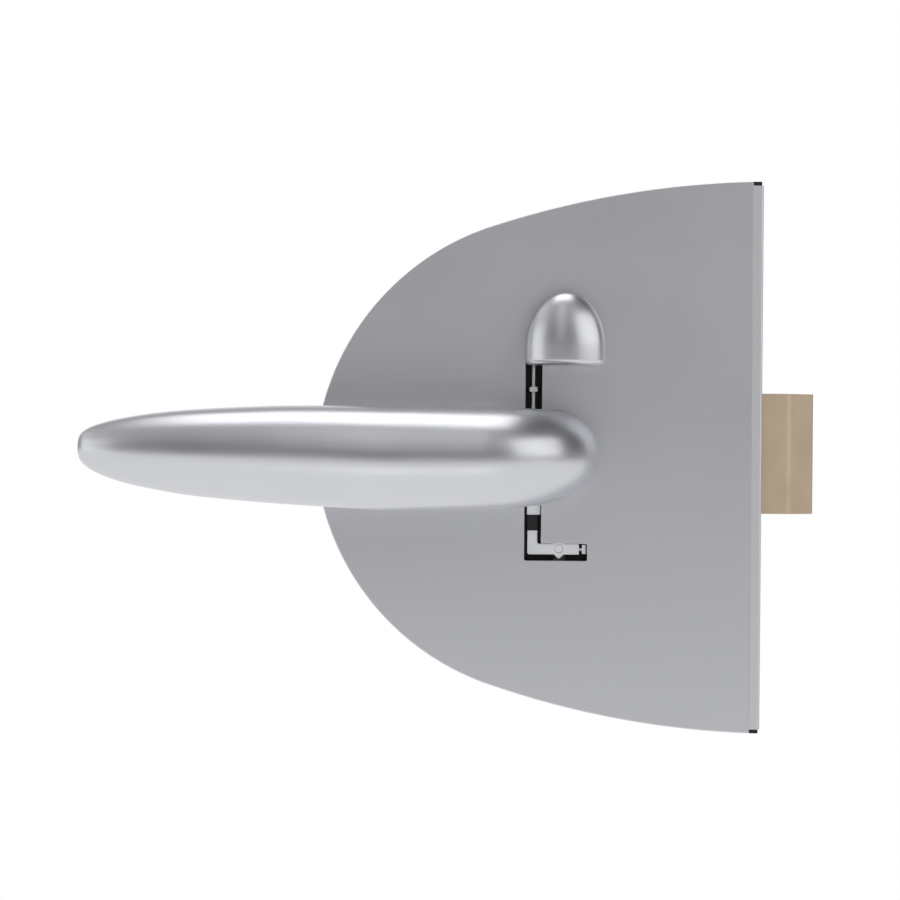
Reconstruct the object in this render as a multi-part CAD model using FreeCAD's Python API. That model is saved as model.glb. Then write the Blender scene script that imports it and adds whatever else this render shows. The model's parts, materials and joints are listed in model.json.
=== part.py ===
import FreeCAD, Part
import math
import os

# Glass door lock with a half moon case, lever handles, a sprung latch and a turn knob.
# Millimetres. The origin is the spindle axis in the middle plane of the glass pane.
# X points to the door's closing edge, Y into the depth of the door, Z up.

Vector = FreeCAD.Vector

# Glass pane and the sheets that lie on it
glass_thickness = 10.0
gasket_thickness = 1.0
plate_thickness = 2.0
gasket_inset = 0.4

# Front case, as layers from the glass outwards
mechanism_depth = 12.0
cover_wall = 2.0
tail_back_gap = 1.4
tail_thickness = 2.6
layer_gap = 0.4
spring_layer = 3.0
liner_gap = 0.3
liner_thickness = 0.5
link_gap = 0.4
link_thickness = 2.8

glass_front = -glass_thickness / 2
plate_back = glass_front - gasket_thickness
plate_front = plate_back - plate_thickness
cover_inside = plate_front - mechanism_depth
cover_front = cover_inside - cover_wall
tail_back = plate_front - tail_back_gap
tail_front = tail_back - tail_thickness
spring_back = tail_front - layer_gap
spring_front = spring_back - spring_layer
liner_back = spring_front - liner_gap
liner_front = liner_back - liner_thickness
link_back = liner_front - link_gap
link_front = link_back - link_thickness

# Rear trim, as layers from the glass inwards
rear_depth = 6.0
glass_back = glass_thickness / 2
rear_plate_front = glass_back + gasket_thickness
rear_plate_back = rear_plate_front + plate_thickness
rear_cover_inside = rear_plate_back + rear_depth
rear_face = rear_cover_inside + cover_wall

# Half moon outline: three arcs a side, straight along the closing edge
backset = 60.0
nose_centre_x = -8.1
nose_radius = 59.1
shoulder_radius = 73.7
back_radius = 257.0
shoulder_angle = 0.3044
back_angle = 1.2453
cover_edge_round = 0.5

# Forend strip on the closing edge
forend_thickness = 3.0
forend_end_gap = 1.2
forend_edge_round = 0.6
forend_window_clearance = 0.3
forend_screw_radius = 2.0
forend_screw_head_radius = 4.0
forend_screw_length = 13.0
forend_block_length = 12.0
forend_block_wall = 1.0
forend_block_height = 14.0
forend_block_gap = 3.4
forend_screw_below = 5.5
block_screw_below = 10.5
end_cap_inset = 0.5
end_cap_set_in = 0.3
forend_inside = backset - forend_thickness

# Running fits and seats
running_fit = 0.05
guide_fit = 0.1
seat_gap = 0.05
end_float = 0.1
edge_clearance = 0.3

# How far cutting tools run past a face, and right through the lock
overrun = 1.0
through = 100.0
near = 0.1

# Lever handle: grip, elbow and neck
grip_offset = 36.0
elbow_radius = 18.0
neck_radius = 12.0
elbow_half_width = 13.1
elbow_half_height = 13.2
neck_shoulder = 2.0
journal_radius = 10.0
journal_end_gap = 0.1
# Grip sections from elbow to tip: distance from the spindle, height of the centre, half height, half depth
grip_sections = [
    (25.0, -0.45, 13.75, 12.75),
    (35.0, -0.85, 14.15, 12.2),
    (48.0, -1.05, 14.3, 11.9),
    (62.0, -0.6, 13.95, 11.6),
    (76.0, -0.3, 13.5, 11.2),
    (89.0, -0.1, 12.7, 10.5),
    (101.0, 0.1, 11.7, 9.7),
    (111.0, 0.4, 10.4, 8.6),
    (119.0, 0.6, 8.8, 7.3),
    (125.0, 0.9, 7.0, 5.8),
    (129.0, 1.2, 5.0, 4.2),
    (131.2, 1.4, 2.4, 2.0),
]

# Square spindle through both handles
spindle_size = 8.0
spindle_front_reach = 22.0
spindle_relief_radius = 4.0
socket_depth_gap = 0.4
grub_screw_radius = 2.5
grub_screw_length = 6.0
grub_screw_setback = 9.0
grub_key_radius = 1.4
grub_key_depth = 2.5
unequal_axes = 0.01

# Collar bushes for the handles and the washers behind them
collar_sleeve_radius = 12.0
collar_flange_radius = 13.0
collar_flange = 1.2
lever_washer_thickness = 0.5
lever_washer_radius = 11.4

# Follower that turns the lever's swing into the latch's pull
follower_hub_radius = 10.0
follower_spring_hub_radius = 7.0
follower_journal_radius = 8.0
follower_journal_gap = 0.2
follower_arm = 20.5
follower_nose_radius = 3.0
follower_arm_width = 4.0
lever_swing = 45.0
follower_bush_radius = 9.6

# Latch and its tail plate
latch_middle_height = 1.1
latch_height = 34.5
latch_projection = 15.7
latch_length = 30.0
latch_low = latch_middle_height - latch_height / 2
latch_high = latch_low + latch_height
latch_right = backset + latch_projection
latch_left = latch_right - latch_length
latch_front_y = -18.2
latch_back_y = -9.0
latch_bevel_length = 7.5
latch_bevel_depth = 6.0
latch_nose_round = 1.4
latch_bevel_round = 3.0
latch_tongue = 10.0
latch_tongue_low = latch_low + 10.6
latch_tongue_high = latch_high - 1.1
nose_top_gap = 0.5
tail_bar_low = follower_arm + follower_nose_radius + nose_top_gap
tail_bar_high = tail_bar_low + 6.0
prong_low = 16.6
prong_width = 3.0
prong_clearance = 0.15
prong_round = 0.8
fork_root_round = 0.4
tail_bend_round = 3.0
tail_end_round = 1.0
tail_bar_round = 2.0
tail_slot_radius = 1.6
tail_pin_x = 20.5
tail_pin_head_radius = 2.8
tail_pin_head = 0.8
tail_pin_float = 0.3
latch_travel = 2 * follower_arm * math.sin(math.radians(lever_swing / 2))

# Latch spring in its pocket, guide pin and abutment
latch_spring_height = latch_low + 4.1
latch_spring_mean_radius = 2.8
latch_spring_wire = 0.8
latch_spring_turns = 12
spring_pocket_radius = 3.6
spring_pocket_depth = 16.0
guide_pin_radius = 2.0
guide_pin_gap = 1.0
guide_pin_head_rim = 0.8
guide_pin_head = 1.0
abutment_left = 15.5
abutment_right = 19.0
abutment_half_height = 4.5
abutment_set_back = 0.7
latch_line_y = (latch_front_y + latch_back_y) / 2

# Flat spiral return spring round the follower hub
spiral_strip = 0.5
spiral_pitch = 1.6
spiral_first_radius = 7.75
spiral_half_turns = 5
spiral_bend_radius = 0.9
spiral_hook = 1.2
spiral_leg = 3.0
spiral_side_gap = 0.3
spring_post_radius = 1.5

# Turn knob, its shaft and its crank
knob_x = 3.5
knob_z = 35.2
knob_width = 22.3
knob_height = 20.6
knob_base = knob_z - 9.5
knob_widest_rise = 4.0
knob_back_gap = 0.7
knob_depth = 13.5
knob_dome_depth = 9.5
knob_edge_round = 1.2
knob_turn = 90.0
knob_shaft_radius = 3.0
knob_shaft_flat = 2.3
knob_socket = 9.0
knob_socket_gap = 0.3
crank_radius = 9.0
crank_throw = 6.0
crank_pin_radius = 1.5
rivet_step = 0.3
knob_grub_radius = 1.5
knob_grub_set_in = 0.8
knob_key_radius = 0.85
knob_key_depth = 1.6
clip_radius = 4.6
clip_thickness = 0.6
clip_groove_depth = 0.5
clip_mouth = 3.2
bush_sleeve_radius = 5.0
bush_flange_radius = 7.0
bush_flange = 0.5
release_radius = 9.0
release_thickness = 3.0
release_gap = 0.3
coin_slot_width = 2.0
coin_slot_depth = 1.5
coin_slot_length = 13.0
release_floor = 0.4
release_socket_gap = 0.2
release_edge_round = 0.8

# Linkage behind the windows
link_travel = 2 * crank_throw * math.sin(math.radians(knob_turn / 2))
link_line_x = -5.3
link_bar_left = -14.5
link_bar_right = -8.5
link_pin_radius = 1.5
link_slot_clearance = 0.1
link_shoulder_radius = 2.2
fork_reach = 0.1
fork_slot_clearance = 0.3
fork_prong = 2.0
fork_back_gap = 1.0
link_end_margin = 4.0
link_round = 0.5
link_end_round = 1.0
rod_boss_wall = 1.0
rod_boss_length = 3.0
rod_socket_depth = 2.0
rod_end_gap = 0.2
fork_pin_height = 36.0
bow_pin_height = -18.0
link_rod_radius = 0.75
link_rod_low = 11.6
adjuster_height = 19.0
adjuster_length = 1.4
adjuster_radius = 1.85
adjuster_half_flats = 1.5
adjuster_edge_round = 0.3
eye_wall = 0.35
eye_depth = 1.6
eye_floor = 1.0
bow_arm_low = -14.6
bow_arm_high = -12.3
end_block_low = -16.9
end_block_half_width = 1.9
end_block_shift = 0.3
end_block_round = 0.2
sleeve_low = -21.4
sleeve_half_width = 1.6
foot_leg_half_width = 1.45
foot_top = -25.2
foot_bottom = -28.3
foot_right = 8.1
foot_boss_x = 2.3
foot_boss_z = -26.6
foot_boss_half = 3.1
foot_round = 0.6
foot_end_inset = 0.2
foot_neck_radius = 0.7
foot_end_left = 8.9
foot_end_right = 10.1
cam_pin_radius = 1.5
cam_pin_overhang = 0.3
cam_pin_set_in = 0.3

# Windows in the front cover
window_width = 4.8
upper_window_low = 13.0
upper_window_high = 27.0
lower_window_low = -30.0
lower_window_high = -13.5
window_leg_high = -25.1
window_leg_right = 10.3
window_corner = 0.5

# Privacy bolt and its cam plate
bolt_height = 11.0
bolt_high = latch_low - 10.4
bolt_low = bolt_high - bolt_height
bolt_length = 23.7
bolt_travel = 10.0
bolt_set_in = 0.3
bolt_right = backset - bolt_set_in
bolt_left = bolt_right - bolt_length
bolt_tongue = 8.0
bolt_tongue_inset = 0.5
bolt_tail_inset = 1.4
bolt_cam_wall = 2.15
bolt_nose_round = 0.8
bolt_pin_x = 25.0
bolt_line_z = (bolt_low + bolt_high) / 2
cam_slot_clearance = 0.15

# Guide block for latch and bolt
guide_set_in = 3.0
guide_left = latch_left + guide_set_in
guide_low = bolt_low - 5.0
guide_high = latch_high + 5.4
guide_front_y = -19.9
buffer_gap = 0.3
buffer_low = latch_high + 0.8
buffer_thickness = 5.0

# Window liner and its posts
liner_left = -20.0
liner_right = 14.0
liner_low = -39.0
liner_high = 28.5
liner_corner = 3.0
liner_spindle_hole = 6.3
liner_cam_clearance = 0.5
liner_posts = [(-17.3, 22.0), (12.0, -19.5)]
post_head_radius = 2.3
post_head_thickness = 0.8

# Clamps through the glass
clamp_spacing_x = 60.0
clamp_spacing_z = 90.0
clamp_places = [(side_x * clamp_spacing_x / 2, side_z * clamp_spacing_z / 2)
                for side_x in (-1, 1) for side_z in (-1, 1)]
glass_hole_radius = 7.0
post_gap = 0.1
post_radius = glass_hole_radius - post_gap
post_neck_radius = 4.0
post_rivet_radius = 6.5
post_rivet_head = tail_back_gap - end_float
post_end_gap = 0.5
post_tapped_depth = 5.0
clamp_screw_radius = 3.0
clamp_screw_head_radius = 5.0
clamp_screw_head = 3.0
clamp_key_radius = 2.3
clamp_key_depth = 1.8
clamp_screw_short = 0.5
spindle_glass_hole = 12.0

# Case screws, pillars and rear screws
screw_sink = 0.05
screw_key_share = 0.7
tapped_floor = 0.4
case_screw_radius = 1.5
case_screw_head_radius = 2.8
case_screw_length = 8.0
pillar_radius = 4.0
pillar_wall_gap = 2.0
pillar_x = -14.0
block_screw_x = forend_inside - forend_block_length / 2
guide_screw_x = guide_left + 5.0
guide_screw_places = [(guide_screw_x, latch_high + 2.9), (guide_screw_x, (latch_low + bolt_high) / 2)]
rear_pillar_x = 34.0
rear_pillar_wall_gap = 3.0
rear_screw_radius = 2.0
rear_screw_head_radius = 3.8
rear_screw_length = 7.0
rivet_radius = 1.25
rivet_head_radius = 2.2
rivet_head = 0.7
rivet_margin = 4.0
bolt_rivet_spacing = 5.4
latch_rivets_at = [(latch_left - latch_tongue / 2, z) for z in (
    latch_tongue_low + rivet_margin, (latch_tongue_low + latch_tongue_high) / 2,
    latch_tongue_high - rivet_margin)]
bolt_rivets_at = [(bolt_left - bolt_tongue / 2, bolt_line_z + side * bolt_rivet_spacing / 2)
                  for side in (-1, 1)]


# Simple solids

def block(x0, x1, y0, y1, z0, z1):
    """Box between two corners."""
    return Part.makeBox(x1 - x0, y1 - y0, z1 - z0, Vector(x0, y0, z0))


def pin(radius, x, z, y0, y1):
    """Cylinder along Y."""
    return Part.makeCylinder(radius, y1 - y0, Vector(x, y0, z), Vector(0, 1, 0))


def bore(radius, x, z):
    """Round hole along Y through everything, as a solid to cut with."""
    return pin(radius, x, z, -through, through)


def ring(outer, inner, x, z, y0, y1):
    """Tube along Y."""
    return pin(outer, x, z, y0, y1).cut(bore(inner, x, z))


def pin_x(radius, x0, x1, y, z):
    """Cylinder along X."""
    return Part.makeCylinder(radius, x1 - x0, Vector(x0, y, z), Vector(1, 0, 0))


def pin_z(radius, x, y, z0, z1):
    """Cylinder along Z."""
    return Part.makeCylinder(radius, z1 - z0, Vector(x, y, z0), Vector(0, 0, 1))


def cone(radius0, radius1, x, z, y0, y1):
    """Cone along Y, radius0 at y0."""
    return Part.makeCone(radius0, radius1, y1 - y0, Vector(x, y0, z), Vector(0, 1, 0))


def extrude(edges, y0, y1):
    """Solid between y0 and y1 with a closed outline given in the XZ plane."""
    face = Part.Face(Part.Wire(edges))
    solid = face.extrude(Vector(0, y1 - y0, 0))
    solid.translate(Vector(0, y0, 0))
    return solid


def hexagon(radius, x, z, y0, y1):
    """Six sided prism along Y for a hex key, measured to its corners."""
    points = []
    for side in range(7):
        angle = math.radians(60 * side)
        points.append(Vector(x + radius * math.cos(angle), 0, z + radius * math.sin(angle)))
    return extrude(Part.makePolygon(points).Edges, y0, y1)


def square_bar(half, y0, y1):
    """Square bar, or the hole for one, on the spindle axis."""
    return block(-half, half, y0, y1, -half, half)


def rounded_polygon(corners, radii):
    """Edges of a polygon in the XZ plane, each corner rounded by its own radius."""
    count = len(corners)
    points = [Vector(x, 0, z) for x, z in corners]
    edges = []
    starts = []
    ends = []
    middles = []
    for i in range(count):
        here = points[i]
        to_last = (points[i - 1] - here).normalize()
        to_next = (points[(i + 1) % count] - here).normalize()
        if radii[i] == 0:
            starts.append(here)
            ends.append(here)
            middles.append(None)
            continue
        half = to_last.getAngle(to_next) / 2
        reach = radii[i] / math.tan(half)
        bisector = (to_last + to_next).normalize()
        centre = here + bisector * (radii[i] / math.sin(half))
        starts.append(here + to_last * reach)
        ends.append(here + to_next * reach)
        middles.append(centre - bisector * radii[i])
    for i in range(count):
        if middles[i] is not None:
            edges.append(Part.Arc(starts[i], middles[i], ends[i]).toShape())
        following = starts[(i + 1) % count]
        if (following - ends[i]).Length > 1e-6:
            edges.append(Part.LineSegment(ends[i], following).toShape())
    return edges


def plate(corners, radius, y0, y1):
    """Flat plate with all corners rounded alike."""
    return extrude(rounded_polygon(corners, [radius] * len(corners)), y0, y1)


def slot(x0, z0, x1, z1, radius, y0, y1):
    """Straight bar or slot with round ends."""
    along = Vector(x1 - x0, 0, z1 - z0).normalize() * radius
    side = Vector(-along.z, 0, along.x)
    a = Vector(x0, 0, z0)
    b = Vector(x1, 0, z1)
    edges = [
        Part.LineSegment(a + side, b + side).toShape(),
        Part.Arc(b + side, b + along, b - side).toShape(),
        Part.LineSegment(b - side, a - side).toShape(),
        Part.Arc(a - side, a - along, a + side).toShape(),
    ]
    return extrude(edges, y0, y1)


def cut_all(solid, tools):
    """Cut several tools from one solid."""
    for tool in tools:
        solid = solid.cut(tool)
    return solid


def fuse_all(solids):
    """Join solids into one and drop the seams."""
    joined = solids[0]
    for other in solids[1:]:
        joined = joined.fuse(other)
    return joined.removeSplitter()


def countersink(x, z, radius, head_radius, face):
    """Screw hole with a conical seat that opens to a face, as a solid to cut with."""
    depth = head_radius - radius
    seat = cone(radius, head_radius + overrun, x, z, face - depth, face + overrun)
    return bore(radius + running_fit, x, z).fuse(seat)


def countersunk_screw(x, z, radius, head_radius, length, face):
    """Screw along Y whose conical head ends just under a face."""
    depth = head_radius - radius
    shank = pin(radius, x, z, face - length, face - depth)
    small = radius - running_fit
    head = cone(small, small + depth - screw_sink, x, z, face - depth, face - screw_sink)
    key = hexagon(radius * screw_key_share, x, z, face - depth, face + overrun)
    return fuse_all([shank, head]).cut(key)


def grub_screw(radius, key_radius, key_depth, x, y, low, high):
    """Headless screw along Z with a hex key hole in its lower end."""
    body = pin(radius, 0, 0, low, high)
    body = body.cut(hexagon(key_radius, 0, 0, low - overrun, low + key_depth))
    body.rotate(Vector(0, 0, 0), Vector(1, 0, 0), 90)
    body.translate(Vector(x, y, 0))
    return body


def edges_at(solid, test):
    """Edges whose bounding box passes a test."""
    return [edge for edge in solid.Edges if test(edge.BoundBox)]


def save(name, shapes):
    """Write one node's solids to a file of its name."""
    solids = shapes if isinstance(shapes, list) else [shapes]
    shape = solids[0] if len(solids) == 1 else Part.makeCompound(solids)
    if shape.ShapeType == "Compound" and len(shape.Solids) == 1:
        shape = shape.Solids[0]
    for solid in shape.Solids:
        if not solid.isValid() or solid.Volume <= 0:
            print("bad solid in", name)
    shape.exportStep("parts/" + name + ".step")
    box = shape.BoundBox
    print(f"{name}: {len(shape.Solids)} solids, {shape.Volume:.1f} mm3,"
          f" x {box.XMin:.2f} {box.XMax:.2f} y {box.YMin:.2f} {box.YMax:.2f}"
          f" z {box.ZMin:.2f} {box.ZMax:.2f}")


# Half moon outline

def direction(angle):
    """Unit vector at an angle above the way from the spindle to the nose."""
    return Vector(-math.cos(angle), 0, math.sin(angle))


def outline_centres():
    """Centres of the nose, shoulder and back arcs."""
    nose = Vector(nose_centre_x, 0, 0)
    shoulder = nose + direction(shoulder_angle) * (nose_radius - shoulder_radius)
    back = shoulder + direction(back_angle) * (shoulder_radius - back_radius)
    return nose, shoulder, back


def half_moon(inset, right):
    """Edges of the case outline, moved inwards, cut straight at a given right side."""
    nose, shoulder, back = outline_centres()
    low = nose + direction(shoulder_angle) * (nose_radius - inset)
    middle_angle = (shoulder_angle + back_angle) / 2
    shoulder_middle = shoulder + direction(middle_angle) * (shoulder_radius - inset)
    high = shoulder + direction(back_angle) * (shoulder_radius - inset)
    radius = back_radius - inset
    corner = Vector(right, 0, back.z + math.sqrt(radius ** 2 - (right - back.x) ** 2))
    start = math.atan2(high.z - back.z, high.x - back.x)
    end = math.atan2(corner.z - back.z, corner.x - back.x)
    halfway = (start + end) / 2
    back_middle = back + Vector(math.cos(halfway), 0, math.sin(halfway)) * radius

    def mirrored(point):
        return Vector(point.x, 0, -point.z)

    tip = Vector(nose_centre_x - nose_radius + inset, 0, 0)
    return [
        Part.Arc(mirrored(low), tip, low).toShape(),
        Part.Arc(low, shoulder_middle, high).toShape(),
        Part.Arc(high, back_middle, corner).toShape(),
        Part.LineSegment(corner, mirrored(corner)).toShape(),
        Part.Arc(mirrored(corner), mirrored(back_middle), mirrored(high)).toShape(),
        Part.Arc(mirrored(high), mirrored(shoulder_middle), mirrored(low)).toShape(),
    ]


def case_height_at(x, inset):
    """Half height of the case outline, moved inwards, at a given X."""
    nose, shoulder, back = outline_centres()
    centre, radius = back, back_radius
    if x < shoulder.x - math.cos(back_angle) * shoulder_radius:
        centre, radius = shoulder, shoulder_radius
    if x < nose.x - math.cos(shoulder_angle) * nose_radius:
        centre, radius = nose, nose_radius
    return centre.z + math.sqrt((radius - inset) ** 2 - (x - centre.x) ** 2)


def three_places(x, reach):
    """One place near the nose and one near each horn, a given distance inside the outline."""
    height = case_height_at(x, reach)
    return [(nose_centre_x - nose_radius + reach, 0.0), (x, height), (x, -height)]


def pillar_places():
    return three_places(pillar_x, cover_wall + pillar_wall_gap + pillar_radius)


def rear_pillar_places():
    return three_places(rear_pillar_x, cover_wall + rear_pillar_wall_gap + pillar_radius)


def block_high():
    """Top of the forend block, under the cover's wall."""
    return case_height_at(forend_inside - forend_block_length, cover_wall) - forend_block_gap


def forend_screw_height():
    return block_high() - forend_screw_below


def block_screw_height():
    return block_high() - block_screw_below


# Lever handle

def grip_centre_y():
    return cover_front - grip_offset


def ellipse(centre, half_height, half_depth, across):
    """Upright elliptical wire whose depth lies along a given direction."""
    up = Vector(0, 0, 1)
    curve = Part.Ellipse(centre + up * half_height, centre + across * half_depth, centre)
    return Part.Wire(curve.toShape())


def lever_neck():
    """Round neck that swells to the elbow's section."""
    elbow_y = grip_centre_y() + elbow_radius
    neck_y = cover_front - neck_shoulder
    across = Vector(1, 0, 0)
    middle_half_height = (neck_radius + elbow_half_height) / 2
    middle_half_width = (neck_radius + elbow_half_width) / 2
    sections = [
        ellipse(Vector(0, neck_y, 0), neck_radius + unequal_axes, neck_radius, across),
        ellipse(Vector(0, (neck_y + elbow_y) / 2, 0), middle_half_height, middle_half_width, across),
        ellipse(Vector(0, elbow_y, 0), elbow_half_height, elbow_half_width, across),
    ]
    return Part.makeLoft(sections, True, False)


def lever_elbow():
    """Quarter turn from the neck into the grip."""
    elbow_y = grip_centre_y() + elbow_radius
    section = ellipse(Vector(0, elbow_y, 0), elbow_half_height, elbow_half_width, Vector(1, 0, 0))
    axis_point = Vector(-elbow_radius, elbow_y, 0)
    return Part.Face(section).revolve(axis_point, Vector(0, 0, 1), -90)


def lever_grip():
    """Cigar shaped grip from the elbow to the tip."""
    across = Vector(0, -1, 0)
    root = Vector(-elbow_radius, grip_centre_y(), 0)
    sections = [ellipse(root, elbow_half_height, elbow_half_width, across)]
    for distance, height, half_height, half_depth in grip_sections:
        centre = Vector(-distance, grip_centre_y(), height)
        sections.append(ellipse(centre, half_height, half_depth, across))
    return Part.makeLoft(sections, True, False, False, 3)


def front_lever():
    """Handle with its elbow, neck, bearing journal, spindle socket and grub screw hole."""
    shoulder_y = cover_front - neck_shoulder
    journal_end = cover_inside + journal_end_gap
    journal = pin(journal_radius, 0, 0, shoulder_y, journal_end)
    body = fuse_all([lever_neck(), lever_elbow(), lever_grip(), journal])
    socket_end = cover_front - spindle_front_reach - socket_depth_gap
    socket = square_bar(spindle_size / 2 + running_fit, socket_end, journal_end + overrun)
    screw_y = cover_front - grub_screw_setback
    screw_way = pin_z(grub_screw_radius + running_fit, 0, screw_y, -through, 0)
    return cut_all(body, [socket, screw_way])


def rear_of(solid):
    """The same piece turned over for the rear trim."""
    turned = solid.mirror(Vector(0, 0, 0), Vector(0, 1, 0))
    turned.translate(Vector(0, rear_face + cover_front, 0))
    return turned


def front_grub_screw():
    top = -spindle_size / 2 - seat_gap
    return grub_screw(grub_screw_radius, grub_key_radius, grub_key_depth, 0,
                      cover_front - grub_screw_setback, top - grub_screw_length, top)


def spindle():
    """Square bar, turned round where the linkage passes it."""
    bar = square_bar(spindle_size / 2, cover_front - spindle_front_reach, rear_face + spindle_front_reach)
    relief = ring(spindle_size, spindle_relief_radius, 0, 0, cover_inside, liner_back + end_float)
    return bar.cut(relief)


def collar():
    """Flanged bush in the cover that carries the handle's journal."""
    inner = journal_radius + running_fit
    front = cover_front - collar_flange
    sleeve = ring(collar_sleeve_radius - seat_gap, inner, 0, 0, front, cover_inside)
    flange = ring(collar_flange_radius, inner, 0, 0, front, cover_front)
    return fuse_all([sleeve, flange])


def lever_washer():
    room = neck_shoulder - collar_flange - lever_washer_thickness
    front = cover_front - neck_shoulder + room / 2
    inner = journal_radius + 2 * running_fit
    return ring(lever_washer_radius, inner, 0, 0, front, front + lever_washer_thickness)


# Follower and its return spring

def nose_place():
    """Centre of the follower's nose at rest."""
    angle = math.radians(lever_swing / 2)
    return follower_arm * math.sin(angle), follower_arm * math.cos(angle)


def follower():
    """Hub with a square hole, a journal in the case plate and an arm with a round nose."""
    hub = pin(follower_hub_radius, 0, 0, tail_front, tail_back)
    spring_hub = pin(follower_spring_hub_radius, 0, 0, spring_front, tail_front)
    journal = pin(follower_journal_radius, 0, 0, tail_back, plate_back - follower_journal_gap)
    x, z = nose_place()
    arm = slot(0, 0, x, z, follower_arm_width / 2, tail_front, tail_back)
    nose = pin(follower_nose_radius, x, z, tail_front, tail_back)
    body = fuse_all([hub, spring_hub, journal, arm, nose])
    body = body.cut(square_bar(spindle_size / 2 + running_fit, -through, through))
    width = spiral_strip + 2 * spiral_side_gap
    slit = block(follower_spring_hub_radius - spiral_hook - spiral_side_gap, follower_hub_radius,
                 spring_front - overrun, spring_back, -width / 2, width / 2)
    return body.cut(slit)


def strip(start, heading, moves, thickness, y0, y1):
    """Flat strip on edge: lines and arcs walked from a start point, then given a thickness."""
    place = Vector(start[0], 0, start[1])
    angle = heading
    left = []
    right = []

    def offset(point, direction, side):
        normal = Vector(-math.sin(direction), 0, math.cos(direction))
        return point + normal * (side * thickness / 2)

    first = (offset(place, angle, 1), offset(place, angle, -1))
    for radius, amount in moves:
        if radius == 0:
            ahead = place + Vector(math.cos(angle), 0, math.sin(angle)) * amount
            for side, edges in ((1, left), (-1, right)):
                edges.append(Part.LineSegment(offset(place, angle, side),
                                              offset(ahead, angle, side)).toShape())
            place = ahead
            continue
        turn = math.copysign(1, amount)
        normal = Vector(-math.sin(angle), 0, math.cos(angle)) * turn
        centre = place + normal * radius

        def on_arc(swing):
            new = angle + swing
            back = Vector(-math.sin(new), 0, math.cos(new)) * turn
            return centre - back * radius, new

        half_place, half_angle = on_arc(amount / 2)
        end_place, end_angle = on_arc(amount)
        for side, edges in ((1, left), (-1, right)):
            edges.append(Part.Arc(offset(place, angle, side), offset(half_place, half_angle, side),
                                  offset(end_place, end_angle, side)).toShape())
        place = end_place
        angle = end_angle
    last = (offset(place, angle, 1), offset(place, angle, -1))
    edges = left + [Part.LineSegment(last[0], last[1]).toShape()]
    edges += list(reversed(right)) + [Part.LineSegment(first[1], first[0]).toShape()]
    return extrude(Part.sortEdges(edges)[0], y0, y1)


def spiral_radii():
    """Radii of the spiral's half turns from the hub outwards."""
    return [spiral_first_radius + turn * spiral_pitch / 2 for turn in range(spiral_half_turns)]


def return_spring():
    """Flat spiral from the slit in the hub out to a leg that rests on the spring post."""
    depth = follower_spring_hub_radius - spiral_hook
    moves = [(0, spiral_first_radius - spiral_bend_radius - depth), (spiral_bend_radius, -math.pi / 2)]
    moves += [(radius, -math.pi) for radius in spiral_radii()]
    moves += [(spiral_bend_radius, math.pi / 2), (0, spiral_leg)]
    front = spring_front + spiral_side_gap
    back = spring_back - spiral_side_gap
    spiral = strip((0, -depth), -math.pi / 2, moves, spiral_strip, front, back)
    spiral.rotate(Vector(0, 0, 0), Vector(0, -1, 0), 90)
    return spiral


# Latch

def latch_head():
    """Bevelled head with a spring pocket and a tongue for the tail plate."""
    right = latch_right
    left = latch_left
    shape = [(left, latch_front_y), (right - latch_bevel_length, latch_front_y),
             (right, latch_front_y + latch_bevel_depth), (right, latch_back_y), (left, latch_back_y)]
    points = [Vector(x, y, latch_low) for x, y in shape]
    face = Part.Face(Part.makePolygon(points + [points[0]]))
    head = face.extrude(Vector(0, 0, latch_height))
    upright = edges_at(head, lambda b: b.ZLength > latch_height - near)
    bevel_edges = [edge for edge in upright
                   if abs(edge.BoundBox.XMin - right + latch_bevel_length) < near]
    head = head.makeFillet(latch_bevel_round, bevel_edges)
    nose_edges = edges_at(head, lambda b: b.ZLength > latch_height - near and b.XMin > right - near)
    head = head.makeFillet(latch_nose_round, nose_edges)
    tongue = block(left - latch_tongue, left, latch_front_y, tail_front,
                   latch_tongue_low, latch_tongue_high)
    head = head.fuse(tongue).removeSplitter()
    pocket = pin_x(spring_pocket_radius, left - overrun, left + spring_pocket_depth,
                   latch_line_y, latch_spring_height)
    head = head.cut(pocket)
    holes = [bore(rivet_radius + seat_gap, x, z) for x, z in latch_rivets_at]
    return cut_all(head, holes)


def latch_tail():
    """Plate from the latch head up and over to the fork round the follower's nose."""
    x, z = nose_place()
    inner_left = x - follower_nose_radius - prong_clearance
    inner_right = x + follower_nose_radius + prong_clearance
    left = inner_left - prong_width
    right = inner_right + prong_width
    end = latch_left
    corners = [
        (left, prong_low), (inner_left, prong_low), (inner_left, tail_bar_low),
        (inner_right, tail_bar_low), (inner_right, prong_low), (right, prong_low),
        (right, tail_bar_low), (end - latch_tongue, tail_bar_low),
        (end - latch_tongue, latch_tongue_low), (end, latch_tongue_low),
        (end, tail_bar_high), (left, tail_bar_high),
    ]
    radii = [prong_round, prong_round, fork_root_round, fork_root_round, prong_round, prong_round,
             prong_round, tail_bend_round, tail_end_round, tail_end_round, tail_bar_round, tail_bar_round]
    body = extrude(rounded_polygon(corners, radii), tail_front, tail_back)
    middle = (tail_bar_low + tail_bar_high) / 2
    guide = slot(tail_pin_x, middle, tail_pin_x + latch_travel, middle, tail_slot_radius,
                 -through, through)
    body = body.cut(guide)
    holes = [bore(rivet_radius + seat_gap, x, z) for x, z in latch_rivets_at]
    return cut_all(body, holes)


def rivet(x, z, front):
    """Rivet through tongue and tail plate, headed on both sides."""
    shank = pin(rivet_radius, x, z, front, tail_back)
    head = pin(rivet_head_radius, x, z, front - rivet_head, front)
    tail = pin(rivet_head_radius, x, z, tail_back, tail_back + rivet_head)
    return fuse_all([shank, head, tail])


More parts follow.
